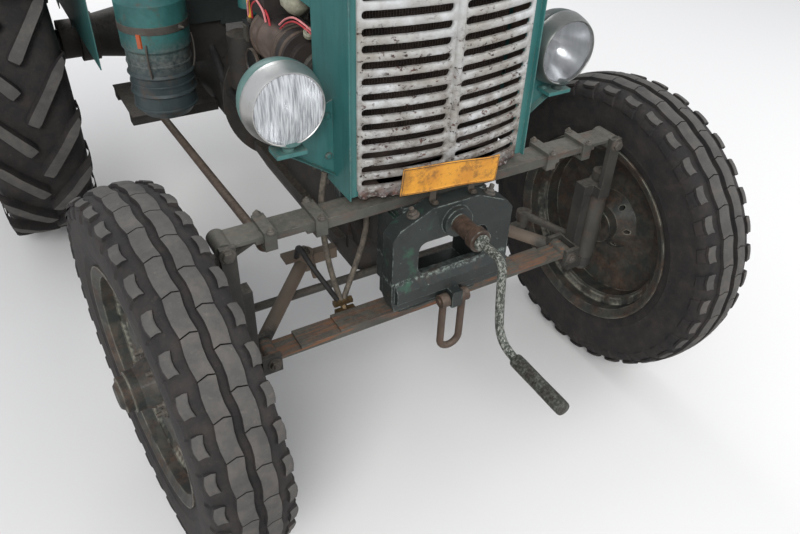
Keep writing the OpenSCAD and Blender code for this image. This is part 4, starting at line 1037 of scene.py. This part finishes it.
# Spring catches that hold the bowl: distance from the drum's middle, height
catch_line = ((0.087, 0.80), (0.094, 0.83), (0.095, 0.87), (0.0915, 0.89))
for turn in (2.4, 4.2, 5.9):
    out = np.array([np.cos(turn), np.sin(turn), 0])
    catch = [cleaner + out * r + (0, 0, z) for r, z in catch_line]
    add_pipe(trim, through(catch, 4), 0.0028, 8, in_steel)
add_bolt(trim, cleaner + (0.05, -0.0755, 0.924), (0.55, -0.83, 0), 0.006, in_steel, 0.012)
# The reflector is a tile bent round the drum, with bevelled edges
tile_r, tile_lift = 0.0898, np.array([0, 0.003, 0.0038, 0.0038, 0.003, 0])
a = np.linspace(3.94, 4.10, 7)[:, None]
z = np.array([[0.8805, 0.881, 0.889, 0.910, 0.917, 0.9175]])
radius = tile_lift + tile_r + 0 * a
radius[[0, -1]] = tile_r
trim.grid(np.stack([np.cos(a) * radius, np.sin(a) * radius, z + 0 * a], -1) + cleaner, in_orange)
trim.piece("air_cleaner_trim", "chassis", [cleaner_teal, nut_steel, reflector_orange()])


# The engine's pipes, hoses and wires. Bent steel pipes from the pump to the head, rubber
# hoses that hang in a V behind the springs, and red, pink and yellow wires by the dynamo.
def plain_finish(name, dark, light, rough, metal=0.0):
    f = Finish(name, metallic=metal)
    fine = f.noise(80, 5, 0.7)
    return f.done(f.mix(dark, light, fine.over(0.35, 0.65)), rough, fine, 0.0004)


pipe_steel = plain_finish("pipe_steel", rgb(70, 66, 60), rgb(112, 106, 96), 0.42, 0.6)
hose_tan = plain_finish("hose_tan", rgb(66, 61, 54), rgb(110, 102, 90), 0.75)
hose_black = plain_finish("hose_black", rgb(26, 25, 25), rgb(46, 44, 42), 0.7)
brass = plain_finish("dull_brass", rgb(70, 58, 40), rgb(112, 92, 62), 0.5, 0.6)
wire_red = plain_finish("wire_red", rgb(150, 36, 46), rgb(188, 60, 66), 0.45)
wire_yellow = plain_finish("wire_yellow", rgb(204, 150, 40), rgb(226, 182, 70), 0.45)
cream = plain_finish("cream_enamel", rgb(138, 138, 120), rgb(172, 170, 150), 0.4)
black = plain_finish("black_plastic", rgb(20, 20, 21), rgb(38, 37, 36), 0.42)

in_steel, in_tan, in_black, in_brass = range(4)


def behind_axle(*points):
    """Points whose y counts back from the front axle line."""
    return np.array(points) + (0, axle_y, 0)


# A pipe for each cylinder, from the pump up and over to its injector, with a nut at both ends
pipes = Shape()
pump_x, pump_z, head_x, injector_z = -0.163, 0.79, -0.104, 0.925
for i in range(4):
    pump_y, injector_y = axle_y + 0.470 + 0.046 * i, axle_y + 0.205 + 0.145 * i
    bend = [
        (pump_x, pump_y, pump_z), (pump_x, pump_y, 0.835),
        (pump_x - 0.004, (pump_y * 2 + injector_y) / 3, 0.875),
        (head_x - 0.045, injector_y, injector_z), (head_x, injector_y, injector_z)]
    add_pipe(pipes, through(bend), 0.0032, 8, in_steel)
    add_bolt(pipes, bend[0], (0, 0, 1), 0.0085, in_steel)
    add_bolt(pipes, bend[-1], (-1, 0, 0), 0.009, in_steel)
# The leak-off pipe runs along the rocker cover, over a nut for each cylinder
leak_y = [0.25 + 0.145 * i for i in range(4)]
leak = [(-0.04, 0.20, 1.083), *((-0.04, y, 1.086) for y in leak_y), (-0.07, 0.75, 1.06), (-0.1, 0.78, 0.93)]
add_pipe(pipes, through(behind_axle(*leak)), 0.0028, 8, in_steel)
for y in leak_y:
    add_bolt(pipes, (-0.04, axle_y + y, 1.077), (0, 0, 1), 0.010, in_steel, 0.008)
drain = behind_axle(
    (-0.2, 0.9435, 0.96), (-0.2, 0.9445, 0.90), (-0.2, 0.9455, 0.847), (-0.2, 0.9405, 0.791),
    (-0.2, 0.9225, 0.757), (-0.2, 0.8865, 0.735), (-0.2, 0.8495, 0.705), (-0.2, 0.8065, 0.682),
    (-0.2, 0.7425, 0.669), (-0.19, 0.6315, 0.654), (-0.15, 0.5745, 0.63))
add_pipe(pipes, through(drain), 0.0125, 16, in_black)
left_hose = behind_axle(
    (-0.235, 0.0495, 0.797), (-0.245, 0.0495, 0.74), (-0.249, 0.0445, 0.6715),
    (-0.238, 0.0395, 0.56), (-0.224, 0.0295, 0.48), (-0.217, 0.0225, 0.452))
right_hose = behind_axle(
    (-0.125, 0.0545, 0.797), (-0.131, 0.0495, 0.70), (-0.1403, 0.0445, 0.6093),
    (-0.168, 0.0395, 0.53), (-0.20, 0.0275, 0.468), (-0.209, 0.0225, 0.452))
lower_hose = behind_axle(
    (-0.262, 0.1845, 0.487), (-0.276, 0.1245, 0.56), (-0.275, 0.0645, 0.5515),
    (-0.250, 0.0345, 0.50), (-0.228, 0.0215, 0.455))
for path, radius, wears in (
        (left_hose, 0.007, in_tan), (right_hose, 0.007, in_tan), (lower_hose, 0.0065, in_black)):
    add_pipe(pipes, through(path), radius, 12, wears)
# The brass union that the three hoses meet in
pipes.box(*behind_axle((-0.240, -0.0055, 0.418), (-0.190, 0.0125, 0.436)), in_brass)
for ends, radius in (
        (((-0.238, 0.0195, 0.446), (-0.19, 0.0195, 0.446)), 0.0095),
        (((-0.214, 0.0195, 0.44), (-0.214, 0.0065, 0.43)), 0.008)):
    add_pipe(pipes, behind_axle(*ends), radius, 6, in_brass)
finishes = [pipe_steel, hose_tan, hose_black, brass]
pipes.piece("engine_pipes", "chassis", finishes)

# The connector box above the dynamo, its terminal and side plate, and the wires by it
wire_pink = plain_finish("wire_pink", rgb(196, 110, 112), rgb(212, 140, 138), 0.5)
in_red, in_yellow, in_plastic, in_metal, in_pink, in_rubber = range(6)
wires = Shape()
wires.box(*behind_axle((-0.252, 0.4065, 0.968), (-0.218, 0.4505, 1.002)), in_plastic)
terminal = behind_axle((-0.240, 0.4285, 1.002), (-0.240, 0.4285, 1.012))
add_pipe(wires, terminal, 0.0085, 12, in_metal)
wires.box(*behind_axle((-0.256, 0.4165, 0.960), (-0.252, 0.4405, 0.996)), in_metal)
upper = behind_axle(
    (-0.240, 0.4305, 1.008), (-0.238, 0.4325, 1.022), (-0.236, 0.4445, 1.042), (-0.230, 0.4545, 1.080))
rear_arc = behind_axle(
    (-0.236, 0.4245, 1.008), (-0.240, 0.4085, 1.045), (-0.238, 0.3765, 1.064),
    (-0.238, 0.3485, 1.062), (-0.238, 0.3185, 1.050), (-0.238, 0.3065, 1.030))
front_arc = behind_axle(
    (-0.238, 0.2505, 1.050), (-0.236, 0.2185, 1.071), (-0.234, 0.1785, 1.086),
    (-0.226, 0.1445, 1.082), (-0.206, 0.1245, 1.060))
for path, radius, wears in (
        (front_arc, 0.0022, in_pink), (front_arc - (0, 0.004, 0.007), 0.0020, in_red),
        (upper, 0.0042, in_yellow), (rear_arc, 0.0026, in_red),
        (rear_arc + (-0.006, 0.008, 0.006), 0.0024, in_pink)):
    add_pipe(wires, through(path), radius, 8, wears)
for side in (-1, 1):
    loom = [
        (side * lamp_x, lamp_y + 0.105, lamp_z - 0.03),
        (side * (lamp_x - 0.02), lamp_y + 0.12, lamp_z - 0.07),
        (side * 0.27, axle_y + 0.05, 0.93), (side * 0.222, axle_y + 0.055, 0.94)]
    add_pipe(wires, through(loom), 0.0045, 8, in_rubber)
finishes = [wire_red, wire_yellow, black, pipe_steel, wire_pink, hose_black]
wires.piece("lighting_wires", "chassis", finishes)


# The dynamo and its neighbours. Its brown body has black ends and is ringed by bands; beside
# it stand an enamelled filter with its pipe, a small cap and a round cover on the block. The
# dash behind them is teal sheet, darkened almost to black towards its foot.
def dynamo_body():
    f = Finish("dynamo_body", metallic=0.1)
    fine = f.noise(90, 6, 0.7)
    clouds = f.noise(14, 5, stretch=(1, 0.3, 1)).over(0.38, 0.66)
    colour = f.mix(rgb(74, 62, 55), rgb(132, 113, 103), clouds)
    ends = 1.0 - f.along("Y").over(axle_y + 0.235, axle_y + 0.25)
    box = f.along("Z").over(1.030, 1.036)
    colour = f.mix(colour, rgb(28, 27, 27), ends.most(box) * 0.85)
    return f.done(colour, 0.5 + fine * 0.3, fine, 0.0008, rounding=0.002)


def dash_paint():
    f = Finish("dash_paint", coat=0.05)
    fine = f.noise(60, 6, 0.7)
    colour = f.mix(rgb(30, 82, 82), rgb(46, 108, 104), f.noise(6, 4))
    # Darker towards the foot: below about 1 m the teal gives way to near black
    low = 1.0 - f.along("Z").over(0.94, 1.06)
    colour = f.mix(colour, f.mix(rgb(27, 29, 28), rgb(46, 46, 43), fine), low * 0.92)
    return f.done(colour, 0.5 + fine * 0.3, fine, 0.0008, rounding=0.002)


dress(dynamo_body(), "dynamo")
dress(dash_paint(), "dash")
in_rust, in_cream, in_steel, in_black = range(4)
dressing = Shape()
dynamo_x, dynamo_z = -0.2, 0.985
# Bands round the dynamo: place behind the front axle line, radius
for y, wide in ((0.212, 0.0605), (0.245, 0.0595), (0.262, 0.0595), (0.345, 0.0600), (0.378, 0.0605)):
    ring = [(wide - 0.003, -0.005), (wide, -0.0035), (wide, 0.0035), (wide - 0.003, 0.005)]
    add_turned(dressing, ring, 40, backward(dynamo_x, axle_y + y, dynamo_z), in_rust)
# The filter's bowl and lid: radius, height
filter_line = [
    (0, 1.066), (0.006, 1.067), (0.022, 1.078), (0.034, 1.092), (0.036, 1.106), (0.036, 1.165),
    (0.042, 1.167), (0.042, 1.185), (0.02, 1.191), (0, 1.191)]
filter_place = placed((dynamo_x, axle_y + 0.2395, 0))
add_turned(dressing, filter_line, 36, filter_place, in_cream)
filter_pipe = behind_axle(
    (-0.2, 0.2395, 1.19), (-0.16, 0.2545, 1.2), (-0.09, 0.2745, 1.12), (-0.06, 0.2845, 1.05))
add_pipe(dressing, through(filter_pipe), 0.009, 10, in_steel)
# The cap leans forward and out; a button sits in its middle
cap_line = [(0.0125, 0), (0.0125, 0.009), (0.0105, 0.011), (0.0050, 0.0112)]
button_line = [(0.0052, 0.0112), (0.0040, 0.0140), (0, 0.0142)]
cap_turn = placed((-0.198, axle_y + 0.1865, 1.044), (-0.25, -0.55, 0.8))
add_turned(dressing, cap_line, 28, cap_turn, in_cream)
add_turned(dressing, button_line, 20, cap_turn, in_rust)
# The cover is a shallow dish whose rim stays rusty, with a bright wire let into it
cover_line = [
    (0.046, 0), (0.047, 0.006), (0.0455, 0.009), (0.042, 0.0085), (0.041, 0.006), (0.015, 0.005), (0, 0.005)]
wire_line = [(0.0465, 0.0085), (0.0455, 0.0098), (0.0445, 0.0092)]
cover_turn = placed((-0.186, axle_y + 0.5815, 0.83), (-1, 0, 0))
add_turned(dressing, cover_line, 48, cover_turn, [in_rust] * 3 + [in_black] * 3)
add_turned(dressing, wire_line, 48, cover_turn, in_steel)
dressing.piece("dynamo_fittings", "chassis", [rusty, cream, pipe_steel, black])


# The driver's place and the rear. A worn wheel and seat, three dials, a ball on the gear
# lever, ribbed pedals, rolled edges on the fenders and splines on the power take-off.
worn_black = plain_finish("worn_black", rgb(26, 25, 25), rgb(52, 50, 48), 0.5)
dial_face = plain_finish("dial_face", rgb(178, 176, 166), rgb(200, 198, 188), 0.5)
seat_paint = teal_paint("seat_paint", rgb(40, 58, 52), rgb(66, 80, 72), 0.7)
dress(worn_black, "steering_wheel")
dress(seat_paint, "seat")
in_steel, in_face, in_black = range(3)
dials = Shape()
dash_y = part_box("dash")[1].y
for x in (-0.090, 0, 0.090):
    face = backward(x, dash_y, 1.290)
    ring = [
        (0.0300, -0.004), (0.0318, -0.003), (0.0322, 0.0), (0.0312, 0.0030), (0.0290, 0.0034),
        (0.0276, 0.0012)]
    add_turned(dials, ring, 48, face, in_steel)
    add_turned(dials, [(0.0278, 0.0012), (0, 0.0012)], 48, face, in_face)
    for tick in np.linspace(0.6, 5.7, 9):
        way = np.array([np.sin(tick), np.cos(tick)])
        mark = tube([(*way * 0.0205, 0.0014), (*way * 0.0250, 0.0014)], 0.0006, 4)
        dials.grid(moved(mark, face), in_black, closed=True)
    needle = tube([(0, 0, 0.002), (-0.013, 0.011, 0.002)], [0.0010, 0.0004], 6)
    dials.grid(moved(needle, face), in_black, closed=True)
    add_turned(dials, [(0.003, 0.0012), (0.003, 0.003), (0, 0.0032)], 16, face, in_black)
for x, z in ((-0.045, 1.225), (0.045, 1.225), (0, 1.205)):
    knob = [(0.004, 0), (0.004, 0.012), (0.009, 0.014), (0.0095, 0.020), (0.006, 0.024), (0, 0.0245)]
    add_turned(dials, knob, 24, backward(x, dash_y - 0.001, z), in_black)
dials.piece("dash_dials", "chassis", [nut_steel, dial_face, worn_black])

cab = Shape()
gear_top, ball_r = np.array([0.040, axle_y + 1.260, 1.100]), 0.0205
ball = np.linspace(-1.35, np.pi / 2, 14)
cab.grid(lathe(np.stack([ball_r * np.cos(ball), ball_r * np.sin(ball)], -1), 28) + gear_top, closed=True)
# Five ribs across each pedal
pedal_x, pedal_y, pedal_z, rib = 0.200, axle_y + 1.184, 0.7115, (0.068, 0.003, 0.0025)
for side in (-1, 1):
    for i in range(5):
        low = np.array([side * pedal_x - 0.034, pedal_y - 0.0235 + i * 0.006, pedal_z])
        cab.box(low, low + rib)
cab.piece("gear_knob_and_pads", "chassis", [worn_black])

# Each bead is an arc about the rear axle, 3 mm inside the fender's rim, cut at both its ends
edges = Shape()
fender_low, fender_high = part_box("fenders")
rear_y, rear_z = joints["rear_roll_right"]["pos_m"][1:]
bead_r, arc = fender_high.z - rear_z - 0.003, np.radians(np.linspace(-22, 128, 80))
for side in (-1, 1):
    x = side * (fender_high.x - 0.003) + 0 * arc
    line = np.stack([x, rear_y + bead_r * np.cos(arc), rear_z + bead_r * np.sin(arc)], -1)
    keep = line[(line[:, 1] < fender_high.y - 0.004) & (line[:, 2] > fender_low.z)]
    add_pipe(edges, keep, 0.006, 10)
edges.piece("fender_beads", "chassis", [teal])

# Across a spline: distance from the shaft's middle, distance sideways
splines = Shape()
spline_line = ((0.0160, -0.0045), (0.0184, -0.0040), (0.0184, 0.0040), (0.0160, 0.0045))
pto_low, pto_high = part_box("pto_shaft")
pto_z = (pto_low.z + pto_high.z) / 2
for turn in np.arange(6) * np.pi / 3:
    out = np.array([np.cos(turn), 0, np.sin(turn)])
    aside = np.array([-np.sin(turn), 0, np.cos(turn)])
    ring = []
    for r, s in spline_line:
        spot = out * r + aside * s + (0, 0, pto_z)
        ring.append([spot + (0, y, 0) for y in (pto_high.y - 0.076, pto_high.y - 0.002)])
    splines.grid(closed_bar(np.array(ring))[::-1], closed=True)
splines.piece("pto_splines", joints["pto_turn"]["child"], [nut_steel], smooth=20)


# The floor and the light. A plain pale floor, and three large soft lamps round the tractor
# that stand for a bright hall; neither belongs to the tractor.
def pale_floor():
    f = Finish("floor")
    ray = f.node("LightPath", out="Is Camera Ray")
    colour = f.mix(rgb(205, 203, 200), rgb(228, 227, 225), ray)
    return f.done(colour, 0.85)


span = 30.0
floor_mesh = bpy.data.meshes.new("floor")
corners = [(-span, -span, 0), (span, -span, 0), (span, span, 0), (-span, span, 0)]
floor_mesh.from_pydata(corners, [], [(0, 1, 2, 3)])
floor = bpy.data.objects.new("floor", floor_mesh)
floor.data.materials.append(pale_floor())
bpy.context.scene.collection.objects.link(floor)

world = bpy.data.worlds.new("studio")
world.use_nodes = True
world.node_tree.nodes["Background"].inputs["Color"].default_value = (0.93, 0.95, 1.0, 1)
world.node_tree.nodes["Background"].inputs["Strength"].default_value = 0.75
bpy.context.scene.world = world


def soft_lamp(name, place, target, size, watts):
    lamp = bpy.data.objects.new(name, bpy.data.lights.new(name, "AREA"))
    lamp.data.size = size
    lamp.data.energy = watts
    lamp.location = place
    lamp.rotation_euler = (Vector(target) - Vector(place)).to_track_quat("-Z", "Y").to_euler()
    bpy.context.scene.collection.objects.link(lamp)


soft_lamp("key", (-2.6, -4.2, 3.8), (0, -0.6, 0.6), 2.2, 190)
soft_lamp("fill", (3.6, -2.4, 2.8), (0, 0, 0.7), 3.0, 70)
soft_lamp("back", (0.5, 4.5, 4.0), (0, 0.5, 0.6), 3.0, 110)
